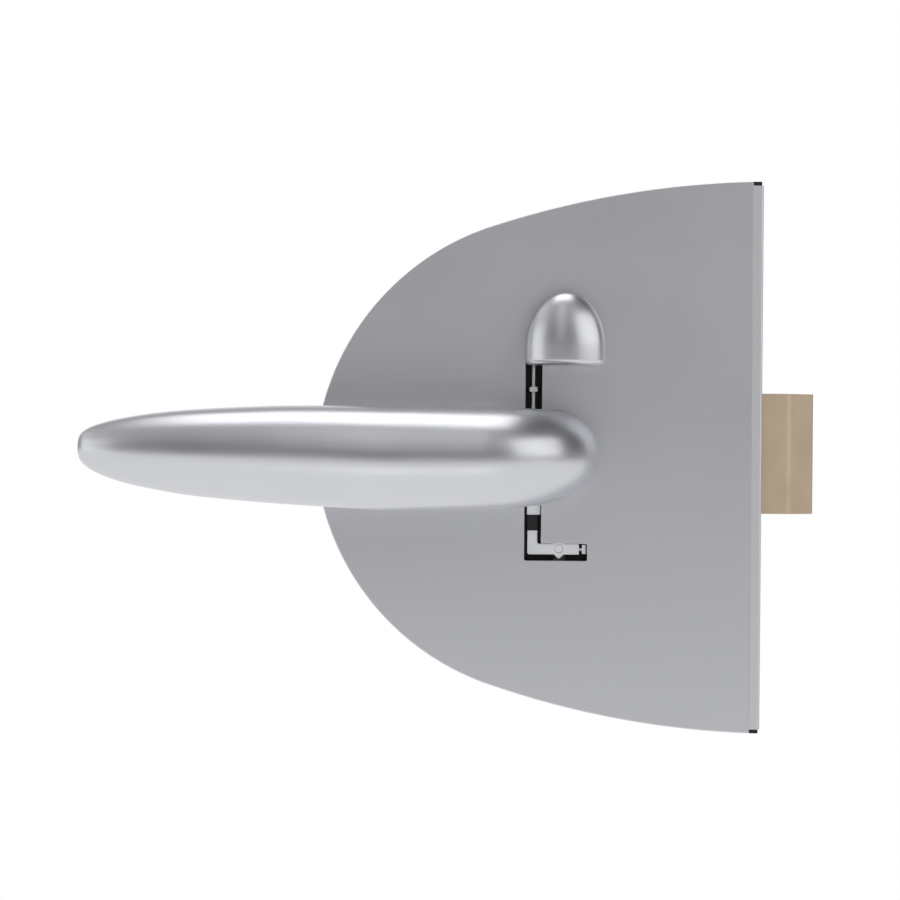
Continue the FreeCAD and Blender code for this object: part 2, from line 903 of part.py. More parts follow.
def latch_spring():
    """Compression spring from the abutment into the latch head's pocket."""
    wire = latch_spring_wire / 2
    start = abutment_right + wire + seat_gap
    end = latch_left + spring_pocket_depth - wire - seat_gap
    pitch = (end - start) / latch_spring_turns
    print(f"latch spring gap between turns {pitch - latch_spring_wire:.2f} mm")
    helix = Part.makeHelix(pitch, end - start, latch_spring_mean_radius)
    shell = Part.BRepOffsetAPI.MakePipeShell(Part.Wire(helix.Edges))
    shell.setFrenetMode(True)
    circle = Part.Circle(Vector(latch_spring_mean_radius, 0, 0), Vector(0, 1, 0), wire)
    shell.add(Part.Wire(circle.toShape()))
    shell.build()
    shell.makeSolid()
    solid = shell.shape()
    solid.rotate(Vector(0, 0, 0), Vector(0, 1, 0), 90)
    solid.translate(Vector(start, latch_line_y, latch_spring_height))
    return solid


def spring_abutment():
    body = block(abutment_left, abutment_right, latch_front_y + abutment_set_back, plate_front,
                 latch_spring_height - abutment_half_height, latch_spring_height + abutment_half_height)
    hole = pin_x(guide_pin_radius + seat_gap, -through, through, latch_line_y, latch_spring_height)
    return body.cut(hole)


def spring_guide_pin():
    reach = latch_left + spring_pocket_depth - latch_travel - guide_pin_gap
    head = pin_x(guide_pin_radius + guide_pin_head_rim, abutment_left - guide_pin_head, abutment_left,
                 latch_line_y, latch_spring_height)
    body = pin_x(guide_pin_radius, abutment_left, reach, latch_line_y, latch_spring_height)
    return fuse_all([head, body])


# Knob

def knob_blank():
    """Dome with a straight back, cut flat at its base: the knob before it is bored."""
    half = knob_width / 2
    rise = knob_height - knob_widest_rise
    straight = knob_depth - knob_dome_depth
    dome = Part.makeSphere(half, Vector(0, 0, 0), Vector(0, -1, 0), 0, 90, 360)
    stretch = FreeCAD.Matrix()
    stretch.scale(1, knob_dome_depth / half, rise / half)
    body = dome.fuse(pin(half, 0, 0, 0, straight * half / knob_dome_depth)).transformGeometry(stretch)
    body.translate(Vector(knob_x, cover_front - knob_back_gap - straight, knob_base + knob_widest_rise))
    return body.cut(block(-through, through, -through, through, -through, knob_base))


def knob():
    """Domed turn knob with a flat base, bored for its shaft."""
    back = cover_front - knob_back_gap
    body = knob_blank()
    rim = edges_at(body, lambda b: b.ZMax < knob_base + near and b.YMin < back - near)
    body = body.makeFillet(knob_edge_round, rim)
    socket = pin(knob_shaft_radius + running_fit, knob_x, knob_z, back - knob_socket, back + overrun)
    screw_way = pin_z(knob_grub_radius + running_fit, knob_x, back - knob_socket / 2,
                      knob_base - overrun, knob_z)
    return cut_all(body, [socket, screw_way])


def knob_grub_screw():
    back = cover_front - knob_back_gap
    top = knob_z - knob_shaft_radius - seat_gap
    return grub_screw(knob_grub_radius, knob_key_radius, knob_key_depth, knob_x,
                      back - knob_socket / 2, knob_base + knob_grub_set_in, top)


def clip_groove_front():
    return spring_back + end_float


def release_socket_end():
    return rear_face + release_gap + release_thickness - coin_slot_depth - release_floor


def knob_shaft():
    """Shaft from the knob through the glass to the emergency release, flat at the crank."""
    front = cover_front - knob_back_gap - knob_socket + knob_socket_gap
    back = release_socket_end() - release_socket_gap
    body = pin(knob_shaft_radius, knob_x, knob_z, front, back)
    flat = block(knob_x + knob_shaft_flat, knob_x + crank_radius, spring_front - end_float,
                 clip_groove_front(), knob_z - crank_radius, knob_z + crank_radius)
    groove = ring(crank_radius, knob_shaft_radius - clip_groove_depth, knob_x, knob_z,
                  clip_groove_front(), clip_groove_front() + clip_thickness + end_float)
    return cut_all(body, [flat, groove])


def crank_pin_place():
    angle = math.radians(180 - knob_turn / 2)
    return knob_x + crank_throw * math.cos(angle), knob_z + crank_throw * math.sin(angle)


def crank():
    """Disc on the knob shaft that carries the crank pin."""
    disc = pin(crank_radius, knob_x, knob_z, spring_front, spring_back)
    shaft_hole = bore(knob_shaft_radius + running_fit, knob_x, knob_z)
    shaft_hole = shaft_hole.cut(block(knob_x + knob_shaft_flat + running_fit, knob_x + crank_radius,
                                      -through, through, knob_z - crank_radius, knob_z + crank_radius))
    x, z = crank_pin_place()
    return cut_all(disc, [shaft_hole, bore(crank_pin_radius - rivet_step + seat_gap, x, z)])


def crank_pin():
    """Stepped pin: a thin end riveted in the disc, a full end in the link's fork."""
    x, z = crank_pin_place()
    thick = pin(crank_pin_radius, x, z, link_front + end_float, spring_front)
    thin = pin(crank_pin_radius - rivet_step, x, z, spring_front, spring_back)
    return fuse_all([thick, thin])


def shaft_clip():
    """Spring clip in the shaft's groove behind the crank."""
    front = clip_groove_front() + end_float / 2
    inner = knob_shaft_radius - clip_groove_depth + seat_gap
    body = ring(clip_radius, inner, knob_x, knob_z, front, front + clip_thickness)
    return body.cut(block(knob_x - clip_mouth / 2, knob_x + clip_mouth / 2, -through, through,
                          knob_z, knob_z + crank_radius))


def knob_bush():
    inner = knob_shaft_radius + running_fit
    front = cover_front - bush_flange
    sleeve = ring(bush_sleeve_radius - seat_gap, inner, knob_x, knob_z, front, cover_inside)
    flange = ring(bush_flange_radius, inner, knob_x, knob_z, front, cover_front)
    return fuse_all([sleeve, flange])


def release_bush():
    inner = knob_shaft_radius + running_fit
    front = rear_cover_inside - bush_flange
    sleeve = ring(bush_sleeve_radius - seat_gap, inner, knob_x, knob_z, front, rear_face)
    flange = ring(bush_flange_radius, inner, knob_x, knob_z, front, rear_cover_inside)
    return fuse_all([sleeve, flange])


def emergency_release():
    """Slotted disc on the rear end of the knob shaft, turned with a coin."""
    front = rear_face + release_gap
    back = front + release_thickness
    disc = pin(release_radius, knob_x, knob_z, front, back)
    rim = edges_at(disc, lambda b: b.YMin > back - near)
    disc = disc.makeFillet(release_edge_round, rim)
    socket = pin(knob_shaft_radius + running_fit, knob_x, knob_z, front - overrun, release_socket_end())
    coin = block(knob_x - coin_slot_length / 2, knob_x + coin_slot_length / 2,
                 back - coin_slot_depth, back + overrun,
                 knob_z - coin_slot_width / 2, knob_z + coin_slot_width / 2)
    return cut_all(disc, [socket, coin])


# Linkage

def guide_slot(x, pin_height):
    """Vertical slot that lets a link piece drop past a fixed pin."""
    radius = link_pin_radius + link_slot_clearance
    return slot(x, pin_height, x, pin_height + link_travel, radius, -through, through)


def guide_x():
    return (link_bar_left + link_bar_right) / 2


def link_line_y():
    return (link_front + link_back) / 2


def fork_low():
    return fork_pin_height - link_end_margin


def link_fork():
    """Top piece: fork on the crank pin, guide slot, and boss for the adjusting rod."""
    x, z = crank_pin_place()
    inner = crank_pin_radius + fork_slot_clearance
    outer = inner + fork_prong
    top = fork_pin_height + link_travel + link_end_margin
    low = fork_low()
    boss_low = low - rod_boss_length
    pin_left = knob_x - crank_throw - crank_pin_radius - fork_back_gap
    rod_half = link_rod_radius + rod_boss_wall
    corners = [
        (link_bar_left, low), (link_line_x - rod_half, low), (link_line_x - rod_half, boss_low),
        (link_line_x + rod_half, boss_low), (link_line_x + rod_half, z - outer),
        (fork_reach, z - outer), (fork_reach, z - inner), (pin_left, z - inner),
        (pin_left, z + inner), (fork_reach, z + inner), (fork_reach, z + outer),
        (link_bar_right, z + outer), (link_bar_right, top), (link_bar_left, top),
    ]
    radii = [link_end_round, 0, link_round, link_round, 0, link_round, link_round,
             link_round, link_round, link_round, link_round, 0, link_end_round, link_end_round]
    body = extrude(rounded_polygon(corners, radii), link_front, link_back)
    hole = pin_z(link_rod_radius + seat_gap, link_line_x, link_line_y(), boss_low - overrun,
                 low + rod_socket_depth)
    return cut_all(body, [guide_slot(guide_x(), fork_pin_height), hole])


def link_rod():
    high = fork_low() + rod_socket_depth - rod_end_gap
    return pin_z(link_rod_radius, link_line_x, link_line_y(), link_rod_low, high)


def adjusting_collar():
    """Nut with two flats on the rod that sets the length of the linkage."""
    low = adjuster_height - adjuster_length / 2
    high = low + adjuster_length
    front = link_line_y() - adjuster_half_flats
    back = link_line_y() + adjuster_half_flats
    flats = block(link_line_x - adjuster_radius, link_line_x + adjuster_radius, front, back, low, high)
    body = pin_z(adjuster_radius, link_line_x, link_line_y(), low, high)
    body = body.makeFillet(adjuster_edge_round, edges_at(body, lambda b: b.ZLength < near)).common(flats)
    return body.cut(pin_z(link_rod_radius + seat_gap, link_line_x, link_line_y(), -through, through))


def link_bow():
    """Strip that carries the linkage past the spindle, with eyes for rod and coupler."""
    eye_high = link_rod_low + eye_depth
    eye_low = link_rod_low - eye_floor
    eye_right = link_line_x + link_rod_radius + eye_wall
    low = bow_pin_height - link_end_margin
    block_left = link_line_x - end_block_half_width + end_block_shift
    block_right = link_line_x + end_block_half_width + end_block_shift
    corners = [
        (link_bar_left, low), (link_bar_right, low), (link_bar_right, bow_arm_low),
        (block_left, bow_arm_low), (block_left, end_block_low), (block_right, end_block_low),
        (block_right, bow_arm_high), (link_bar_right, bow_arm_high), (link_bar_right, eye_low),
        (eye_right, eye_low), (eye_right, eye_high), (link_bar_left, eye_high),
    ]
    radii = [link_end_round, link_end_round, 0, 0, end_block_round, end_block_round, link_round,
             link_round, link_round, end_block_round, end_block_round, link_end_round]
    body = extrude(rounded_polygon(corners, radii), link_front, link_back)
    hole = pin_z(link_rod_radius + seat_gap, link_line_x, link_line_y(), link_rod_low, eye_high + overrun)
    return cut_all(body, [guide_slot(guide_x(), bow_pin_height), hole])


def coupler_sleeve():
    """Black sleeve that joins the end block to the foot."""
    return block(link_line_x - sleeve_half_width, link_line_x + sleeve_half_width,
                 link_front + end_float, link_back - end_float, sleeve_low, end_block_low)


def link_foot():
    """L shaped foot with a diamond boss round the cam pin."""
    left = link_line_x - foot_leg_half_width
    right = link_line_x + foot_leg_half_width
    corners = [
        (left, sleeve_low), (left, foot_bottom), (foot_right, foot_bottom),
        (foot_right, foot_top), (right, foot_top), (right, sleeve_low),
    ]
    radii = [end_block_round, foot_round, end_block_round, end_block_round, foot_round, end_block_round]
    leg = extrude(rounded_polygon(corners, radii), link_front, link_back)
    half = foot_boss_half
    diamond = [(foot_boss_x - half, foot_boss_z), (foot_boss_x, foot_boss_z - half),
               (foot_boss_x + half, foot_boss_z), (foot_boss_x, foot_boss_z + half)]
    boss = plate(diamond, foot_round, link_front, link_back)
    body = fuse_all([leg, boss])
    return body.cut(bore(cam_pin_radius - rivet_step + seat_gap, foot_boss_x, foot_boss_z))


def foot_end_piece():
    """Bright end stud on a thin black neck beside the foot."""
    line_z = (foot_top + foot_bottom) / 2
    body = block(foot_end_left, foot_end_right, link_front, link_back,
                 foot_bottom + foot_end_inset, foot_top - foot_end_inset)
    neck = pin_x(foot_neck_radius, foot_right, foot_end_left, link_line_y(), line_z)
    return fuse_all([body, neck])


def cam_pin():
    """Stepped pin: a thin end in the foot, a full end in the bolt's cam slot."""
    thick = pin(cam_pin_radius, foot_boss_x, foot_boss_z, link_back, tail_back + cam_pin_overhang)
    thin = pin(cam_pin_radius - rivet_step, foot_boss_x, foot_boss_z, link_front + cam_pin_set_in,
               link_back)
    return fuse_all([thick, thin])


# Privacy bolt

def bolt_head():
    right = bolt_right
    left = bolt_left
    body = block(left, right, latch_front_y, latch_back_y, bolt_low, bolt_high)
    body = body.makeFillet(bolt_nose_round, edges_at(body, lambda b: b.XMin > right - near))
    tongue = block(left - bolt_tongue, left, latch_front_y, tail_front,
                   bolt_low + bolt_tongue_inset, bolt_high - bolt_tongue_inset)
    body = body.fuse(tongue).removeSplitter()
    return cut_all(body, [bore(rivet_radius + seat_gap, x, z) for x, z in bolt_rivets_at])


def bolt_tail():
    """Cam plate with a slanted slot that turns the link's drop into the bolt's throw."""
    cam_end_x = foot_boss_x - bolt_travel
    cam_end_z = foot_boss_z - link_travel
    slot_radius = cam_pin_radius + cam_slot_clearance
    cheek = slot(foot_boss_x, foot_boss_z, cam_end_x, cam_end_z, slot_radius + bolt_cam_wall,
                 tail_front, tail_back)
    arm = block(cam_end_x, bolt_left, tail_front, tail_back,
                bolt_low + bolt_tail_inset, bolt_high - bolt_tail_inset)
    cam = slot(foot_boss_x, foot_boss_z, cam_end_x, cam_end_z, slot_radius, -through, through)
    guide = slot(bolt_pin_x - bolt_travel, bolt_line_z, bolt_pin_x, bolt_line_z, tail_slot_radius,
                 -through, through)
    holes = [bore(rivet_radius + seat_gap, x, z) for x, z in bolt_rivets_at]
    return cut_all(fuse_all([cheek, arm]), [cam, guide] + holes)


# Case and what is fixed in it

def through_holes(clamp_hole, spindle_hole, shaft_hole):
    """Holes for clamps, spindle and knob shaft in a sheet."""
    tools = [bore(clamp_hole, x, z) for x, z in clamp_places]
    return tools + [bore(spindle_hole, 0, 0), bore(shaft_hole, knob_x, knob_z)]


def case_screw_places():
    blocks = [(block_screw_x, block_screw_height()), (block_screw_x, -block_screw_height())]
    return pillar_places() + blocks + guide_screw_places


def case_plate():
    """Base of the front case, carrying the mechanism."""
    body = extrude(half_moon(cover_wall + edge_clearance, forend_inside), plate_front, plate_back)
    tools = through_holes(post_neck_radius + running_fit, follower_bush_radius,
                          knob_shaft_radius + edge_clearance)
    for x, z in case_screw_places():
        tools.append(countersink(x, z, case_screw_radius, case_screw_head_radius, plate_back))
    return cut_all(body, tools)


def case_screw(x, z):
    """Countersunk screw from behind the case plate."""
    return countersunk_screw(x, z, case_screw_radius, case_screw_head_radius,
                             case_screw_length, plate_back)


def screw_hole(x, z):
    """Tapped hole for a case screw, as a solid to cut with."""
    return pin(case_screw_radius + running_fit, x, z, plate_back - case_screw_length - tapped_floor,
               plate_front + overrun)


def windows():
    """Two cut-outs: a straight one above the spindle and an L below it."""
    left = link_line_x - window_width / 2
    right = link_line_x + window_width / 2
    upper = [(left, upper_window_low), (right, upper_window_low),
             (right, upper_window_high), (left, upper_window_high)]
    lower = [(left, lower_window_low), (window_leg_right, lower_window_low),
             (window_leg_right, window_leg_high), (right, window_leg_high),
             (right, lower_window_high), (left, lower_window_high)]
    return [plate(corners, window_corner, -through, through) for corners in (upper, lower)]


def front_cover():
    """Half moon shell, open behind and along the closing edge."""
    shell = extrude(half_moon(0, forend_inside), cover_front, plate_back)
    rim = edges_at(shell, lambda b: b.YMax < cover_front + near and b.XMin < forend_inside - near)
    shell = shell.makeFillet(cover_edge_round, rim)
    hollow = extrude(half_moon(cover_wall, forend_inside + overrun), cover_inside, plate_back + overrun)
    shell = shell.cut(hollow)
    pillars = [pin(pillar_radius, x, z, cover_inside, plate_front) for x, z in pillar_places()]
    shell = shell.fuse(pillars).removeSplitter()
    tools = [screw_hole(x, z) for x, z in pillar_places()]
    tools += windows()
    tools += [bore(collar_sleeve_radius, 0, 0), bore(bush_sleeve_radius, knob_x, knob_z)]
    return cut_all(shell, tools)


def front_gasket():
    body = extrude(half_moon(gasket_inset, backset - gasket_inset), plate_back, glass_front)
    return cut_all(body, through_holes(glass_hole_radius, spindle_glass_hole, bush_sleeve_radius))


def forend_height():
    return case_height_at(backset, 0) - forend_end_gap


def forend():
    """Strip on the closing edge with windows for latch and bolt."""
    height = forend_height()
    body = block(forend_inside, backset, cover_front, plate_back, -height, height)
    long_edges = edges_at(body, lambda b: b.XMin > backset - near and b.ZLength > height)
    body = body.makeFillet(forend_edge_round, long_edges)
    gap = forend_window_clearance
    y0 = latch_front_y - gap
    y1 = latch_back_y + gap
    latch_window = block(0, through, y0, y1, latch_low - gap, latch_high + gap)
    bolt_window = block(0, through, y0, y1, bolt_low - gap, bolt_high + gap)
    tools = [latch_window, bolt_window]
    for z in (-forend_screw_height(), forend_screw_height()):
        tools.append(to_forend(countersink(0, 0, forend_screw_radius, forend_screw_head_radius, 0), z))
    return cut_all(body, tools)


def to_forend(solid, z):
    """Turn a screw or its hole, drawn along Y with its face at the origin, into the strip."""
    solid.rotate(Vector(0, 0, 0), Vector(0, 0, 1), -90)
    solid.translate(Vector(backset, latch_line_y, z))
    return solid


def forend_screw(z):
    return to_forend(countersunk_screw(0, 0, forend_screw_radius, forend_screw_head_radius,
                                       forend_screw_length, 0), z)


def forend_block(side):
    """Tapped block inside the case that the forend is screwed to."""
    low, high = sorted((side * (block_high() - forend_block_height), side * block_high()))
    left = forend_inside - forend_block_length
    body = block(left, forend_inside, cover_inside + end_float, plate_front, low, high)
    tapped = pin_x(forend_screw_radius + running_fit, left + forend_block_wall, through,
                   latch_line_y, side * forend_screw_height())
    return cut_all(body, [tapped, screw_hole(block_screw_x, side * block_screw_height())])


def forend_end_cap(side):
    """Dark seal that fills the gap between the strip's end and the case's corner."""
    height = forend_height()
    low, high = sorted((side * height, side * (height + forend_end_gap - seat_gap)))
    return block(forend_inside, backset - end_cap_inset, cover_front + end_cap_set_in, plate_back,
                 low, high)


def guide_block():
    """Block with two passages that the latch and the bolt slide in."""
    body = block(guide_left, forend_inside, guide_front_y, plate_front, guide_low, guide_high)
    fit = guide_fit
    y0 = latch_front_y - fit
    y1 = latch_back_y + fit
    latch_way = block(0, through, y0, y1, latch_low - fit, latch_high + fit)
    bolt_way = block(0, through, y0, y1, bolt_low - fit, bolt_high + fit)
    holes = [screw_hole(x, z) for x, z in guide_screw_places]
    return cut_all(body, [latch_way, bolt_way] + holes)


def latch_buffer():
    """Rubber stop between the latch tail and the guide block."""
    return block(latch_left + buffer_gap, guide_left, plate_front - buffer_thickness, plate_front,
                 buffer_low, guide_high)


def stepped_post(x, z):
    """Guide post of the linkage: a thick foot up to the liner, a thin pin beyond it."""
    foot = pin(link_shoulder_radius, x, z, liner_back, plate_front)
    neck = pin(link_pin_radius, x, z, link_front - end_float, liner_back)
    return fuse_all([foot, neck])


def liner_post(x, z):
    """Headed post that holds the window liner."""
    foot = pin(link_shoulder_radius, x, z, liner_back, plate_front)
    neck = pin(link_pin_radius, x, z, liner_front, liner_back)
    head = pin(post_head_radius, x, z, liner_front - post_head_thickness, liner_front)
    return fuse_all([foot, neck, head])


def window_liner():
    """Black sheet that closes the view behind the linkage."""
    corners = [(liner_left, liner_low), (liner_right, liner_low), (liner_right, liner_high),
               (liner_left, liner_high)]
    body = plate(corners, liner_corner, liner_front, liner_back)
    hole = link_pin_radius + 2 * running_fit
    tools = [bore(liner_spindle_hole, 0, 0), bore(hole, guide_x(), bow_pin_height)]
    tools += [bore(hole, x, z) for x, z in liner_posts]
    tools.append(slot(foot_boss_x, foot_boss_z, foot_boss_x, foot_boss_z - link_travel,
                      cam_pin_radius + liner_cam_clearance, -through, through))
    return cut_all(body, tools)


def tail_guide_pin(x, z):
    """Headed pin in the case plate that keeps a tail plate flat."""
    under_head = tail_front - tail_pin_float
    shank = pin(link_pin_radius, x, z, under_head, plate_front)
    head = pin(tail_pin_head_radius, x, z, under_head - tail_pin_head, under_head)
    return fuse_all([shank, head])


def spring_post():
    """Post that the outer leg of the return spring pulls against."""
    leg_root = spiral_radii()[-1] + spiral_bend_radius
    x = -leg_root - spring_post_radius
    z = -spiral_strip / 2 - seat_gap - spring_post_radius
    return pin(spring_post_radius, x, z, spring_front + end_float, plate_front)


def follower_bush():
    inner = follower_journal_radius + running_fit
    return ring(follower_bush_radius - seat_gap, inner, 0, 0, plate_front, plate_back)


def post_end():
    return glass_back + post_end_gap


def clamp_post(x, z):
    """Post riveted in the case plate that fills a hole in the glass, tapped at its rear end."""
    head = pin(post_rivet_radius, x, z, plate_front - post_rivet_head, plate_front)
    neck = pin(post_neck_radius, x, z, plate_front, plate_back)
    root = pin(post_rivet_radius, x, z, plate_back, glass_front)
    body = pin(post_radius, x, z, glass_front, glass_back)
    end = pin(post_rivet_radius, x, z, glass_back, post_end())
    tapped = pin(clamp_screw_radius + running_fit, x, z, post_end() - post_tapped_depth,
                 post_end() + overrun)
    return fuse_all([head, neck, root, body, end]).cut(tapped)


def clamp_screw(x, z):
    head = pin(clamp_screw_head_radius, x, z, rear_plate_back, rear_plate_back + clamp_screw_head)
    shank = pin(clamp_screw_radius, x, z, post_end() - post_tapped_depth + clamp_screw_short,
                rear_plate_back)
    top = rear_plate_back + clamp_screw_head
    key = hexagon(clamp_key_radius, x, z, top - clamp_key_depth, top + overrun)
    return fuse_all([head, shank]).cut(key)


def rear_gasket():
    body = extrude(half_moon(gasket_inset, backset - gasket_inset), glass_back, rear_plate_front)
    return cut_all(body, through_holes(glass_hole_radius, spindle_glass_hole, bush_sleeve_radius))


def rear_plate():
    inset = cover_wall + edge_clearance
    body = extrude(half_moon(inset, backset - inset), rear_plate_front, rear_plate_back)
    return cut_all(body, through_holes(clamp_screw_radius + edge_clearance, journal_radius,
                                       knob_shaft_radius + edge_clearance))


def rear_pillar(x, z):
    """Tapped pillar on the rear plate for a cover screw."""
    body = pin(pillar_radius, x, z, rear_plate_back, rear_cover_inside)
    return body.cut(pin(rear_screw_radius + running_fit, x, z, rear_plate_back + tapped_floor,
                        rear_cover_inside + overrun))


def rear_cover():
    """Shallow half moon shell over the rear plate."""
    shell = extrude(half_moon(0, backset), rear_plate_front, rear_face)
    rim = edges_at(shell, lambda b: b.YMin > rear_face - near)
    shell = shell.makeFillet(cover_edge_round, rim)
    hollow = extrude(half_moon(cover_wall, backset - cover_wall), rear_plate_front - overrun,
                     rear_cover_inside)
    shell = shell.cut(hollow)
    tools = [bore(collar_sleeve_radius, 0, 0), bore(bush_sleeve_radius, knob_x, knob_z)]
    for x, z in rear_pillar_places():
        tools.append(countersink(x, z, rear_screw_radius, rear_screw_head_radius, rear_face))
    return cut_all(shell, tools)


def rear_cover_screw(x, z):
    return countersunk_screw(x, z, rear_screw_radius, rear_screw_head_radius,
                             rear_screw_length, rear_face)


os.makedirs("parts", exist_ok=True)

front_lever_solid = front_lever()
save("front_lever", front_lever_solid)
save("rear_lever", rear_of(front_lever_solid))
save("lever_grub_screws", [front_grub_screw(), rear_of(front_grub_screw())])
save("spindle", spindle())
save("lever_washers", [lever_washer(), rear_of(lever_washer())])
save("follower", follower())
save("front_collar", collar())
save("rear_collar", rear_of(collar()))
save("follower_bush", follower_bush())
save("return_spring", return_spring())
save("spring_post", spring_post())

save("latch_head", latch_head())
save("latch_tail", latch_tail())
save("latch_rivets", [rivet(x, z, latch_front_y) for x, z in latch_rivets_at])
save("latch_spring", latch_spring())
save("spring_abutment", spring_abutment())
save("spring_guide_pin", spring_guide_pin())
save("latch_buffer", latch_buffer())

save("knob", knob())
save("knob_grub_screw", knob_grub_screw())
save("knob_shaft", knob_shaft())
save("crank", crank())
save("crank_pin", crank_pin())
save("shaft_clip", shaft_clip())
save("emergency_release", emergency_release())
save("knob_bush", knob_bush())
save("release_bush", release_bush())

save("link_fork", link_fork())
save("link_rod", link_rod())
save("adjusting_collar", adjusting_collar())
save("link_bow", link_bow())
save("coupler_sleeve", coupler_sleeve())
save("link_foot", link_foot())
save("foot_end_piece", foot_end_piece())
save("cam_pin", cam_pin())

save("bolt_head", bolt_head())
save("bolt_tail", bolt_tail())
save("bolt_rivets", [rivet(x, z, latch_front_y) for x, z in bolt_rivets_at])

save("front_cover", front_cover())
save("case_plate", case_plate())
save("case_screws", [case_screw(x, z) for x, z in case_screw_places()])
save("front_gasket", front_gasket())
save("forend", forend())
save("forend_screws", [forend_screw(-forend_screw_height()), forend_screw(forend_screw_height())])
save("forend_blocks", [forend_block(-1), forend_block(1)])
save("forend_end_caps", [forend_end_cap(-1), forend_end_cap(1)])
save("guide_block", guide_block())
save("tail_guide_pins", [tail_guide_pin(tail_pin_x, (tail_bar_low + tail_bar_high) / 2),
                         tail_guide_pin(bolt_pin_x, bolt_line_z)])
save("link_guide_posts", [stepped_post(guide_x(), z) for z in (fork_pin_height, bow_pin_height)])
save("window_liner", window_liner())
save("liner_posts", [liner_post(x, z) for x, z in liner_posts])

save("clamp_posts", [clamp_post(x, z) for x, z in clamp_places])
save("clamp_screws", [clamp_screw(x, z) for x, z in clamp_places])
save("rear_gasket", rear_gasket())
save("rear_plate", rear_plate())
save("rear_pillars", [rear_pillar(x, z) for x, z in rear_pillar_places()])
save("rear_cover", rear_cover())
save("rear_cover_screws", [rear_cover_screw(x, z) for x, z in rear_pillar_places()])
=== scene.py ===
# %% [markdown]
# # A glass door lock, dressed for its picture
#
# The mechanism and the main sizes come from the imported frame. This file gives each piece the surface
# that the real one has: satin anodised aluminium on everything the hand touches, a brushed strip on the
# closing edge, a nickel latch, and bright zinc rods behind the two windows. The lock's own sizes are
# written in millimetres and multiplied by MM where Blender takes metres. The set around it, lamps and
# camera too, is placed in metres.

# %% Load the frame
import json
import math

import bmesh
import bpy
from mathutils import Matrix, Vector


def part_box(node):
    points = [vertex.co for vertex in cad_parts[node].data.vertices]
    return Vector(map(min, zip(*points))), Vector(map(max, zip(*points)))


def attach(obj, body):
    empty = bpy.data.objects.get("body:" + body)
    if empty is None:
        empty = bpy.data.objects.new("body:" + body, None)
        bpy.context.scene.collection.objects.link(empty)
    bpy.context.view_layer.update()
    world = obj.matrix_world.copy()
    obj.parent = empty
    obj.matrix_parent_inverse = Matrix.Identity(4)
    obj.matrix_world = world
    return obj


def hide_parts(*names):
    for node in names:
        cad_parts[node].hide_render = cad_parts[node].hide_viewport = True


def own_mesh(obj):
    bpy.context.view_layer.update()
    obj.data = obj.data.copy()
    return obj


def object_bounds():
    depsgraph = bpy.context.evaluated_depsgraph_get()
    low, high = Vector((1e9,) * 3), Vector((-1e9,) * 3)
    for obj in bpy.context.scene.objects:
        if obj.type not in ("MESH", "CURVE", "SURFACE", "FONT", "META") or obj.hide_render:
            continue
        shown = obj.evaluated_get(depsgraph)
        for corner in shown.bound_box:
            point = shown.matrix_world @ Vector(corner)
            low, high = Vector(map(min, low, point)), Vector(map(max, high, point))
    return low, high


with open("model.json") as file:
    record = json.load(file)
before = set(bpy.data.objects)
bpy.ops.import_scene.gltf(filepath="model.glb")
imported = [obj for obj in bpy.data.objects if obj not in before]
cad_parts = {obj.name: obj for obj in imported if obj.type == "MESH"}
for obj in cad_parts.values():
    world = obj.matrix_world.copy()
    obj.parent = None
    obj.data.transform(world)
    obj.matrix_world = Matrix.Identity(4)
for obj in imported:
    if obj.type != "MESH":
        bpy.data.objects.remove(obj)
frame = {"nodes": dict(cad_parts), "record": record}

MM = 0.001
cad_low, cad_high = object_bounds()
nodes = frame["nodes"]
record = frame["record"]
slot_of = {row["node"]: row["material_slot"] for row in record["subparts"]}
body_of = {name: body for body, names in record["behaviour"]["bodies"].items() for name in names}
print("CAD box in mm:", [round(v / MM, 1) for v in (*cad_low, *cad_high)])

# %% [markdown]
# ## Helpers for objects
#
# A camera, a lamp and a mesh all come into a scene the same way: their data goes into an object, and
# the object is linked to a collection. A bmesh is Blender's workbench for a mesh. When the shape is
# done, it is written to a mesh and let go.

# %% Object helpers
def put(name, data):
    """Object that holds a mesh, lamp or camera, linked into the scene."""
    made = bpy.data.objects.new(name, data)
    bpy.context.scene.collection.objects.link(made)
    return made


def as_mesh(name, bm):
    """Mesh of a bmesh, which is freed."""
    mesh = bpy.data.meshes.new(name)
    bm.to_mesh(mesh)
    bm.free()
    return mesh


def box_mm(node):
    """Lowest and highest corner of a CAD node in millimetres."""
    return [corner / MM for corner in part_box(node)]


# %% [markdown]
# ## Camera
#
# The photograph is taken square on, level with the handle, from about nine tenths of a metre. A long
# lens at that distance keeps the plate's outline true while the handle, which stands nearer, still
# looks a little larger. The picture leans by half a degree, and so does the camera.

# %% Camera
FRAME_WIDTH = 257.1 * MM
COVER_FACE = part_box("front_cover")[0].y
CAMERA_DISTANCE = 0.9
CAMERA_AIM = Vector((-29.1 * MM, COVER_FACE, 1.4 * MM))
CAMERA_ROLL = math.radians(-0.5)

camera_data = bpy.data.cameras.new("camera")
camera_data.sensor_width = 36
camera_data.lens = camera_data.sensor_width * CAMERA_DISTANCE / FRAME_WIDTH
camera = put("camera", camera_data)
bpy.context.scene.camera = camera
camera.location = CAMERA_AIM - Vector((0, CAMERA_DISTANCE, 0))
camera.rotation_euler = (math.pi / 2, CAMERA_ROLL, 0)
print("lens", round(camera_data.lens, 1), "mm")

# %% [markdown]
# ## Helpers for materials
#
# Every material below is a small tree of nodes. One function adds a node, sets it and links it, so a
# material reads as a list of what feeds what. Sockets that share a name are picked by number: on a Mix
# node set to colours, input 0 is the factor, 6 and 7 are the two colours, and output 2 is the result.
# Colours are sRGB hex codes, as a colour picker shows them, and Blender's nodes want them linear.

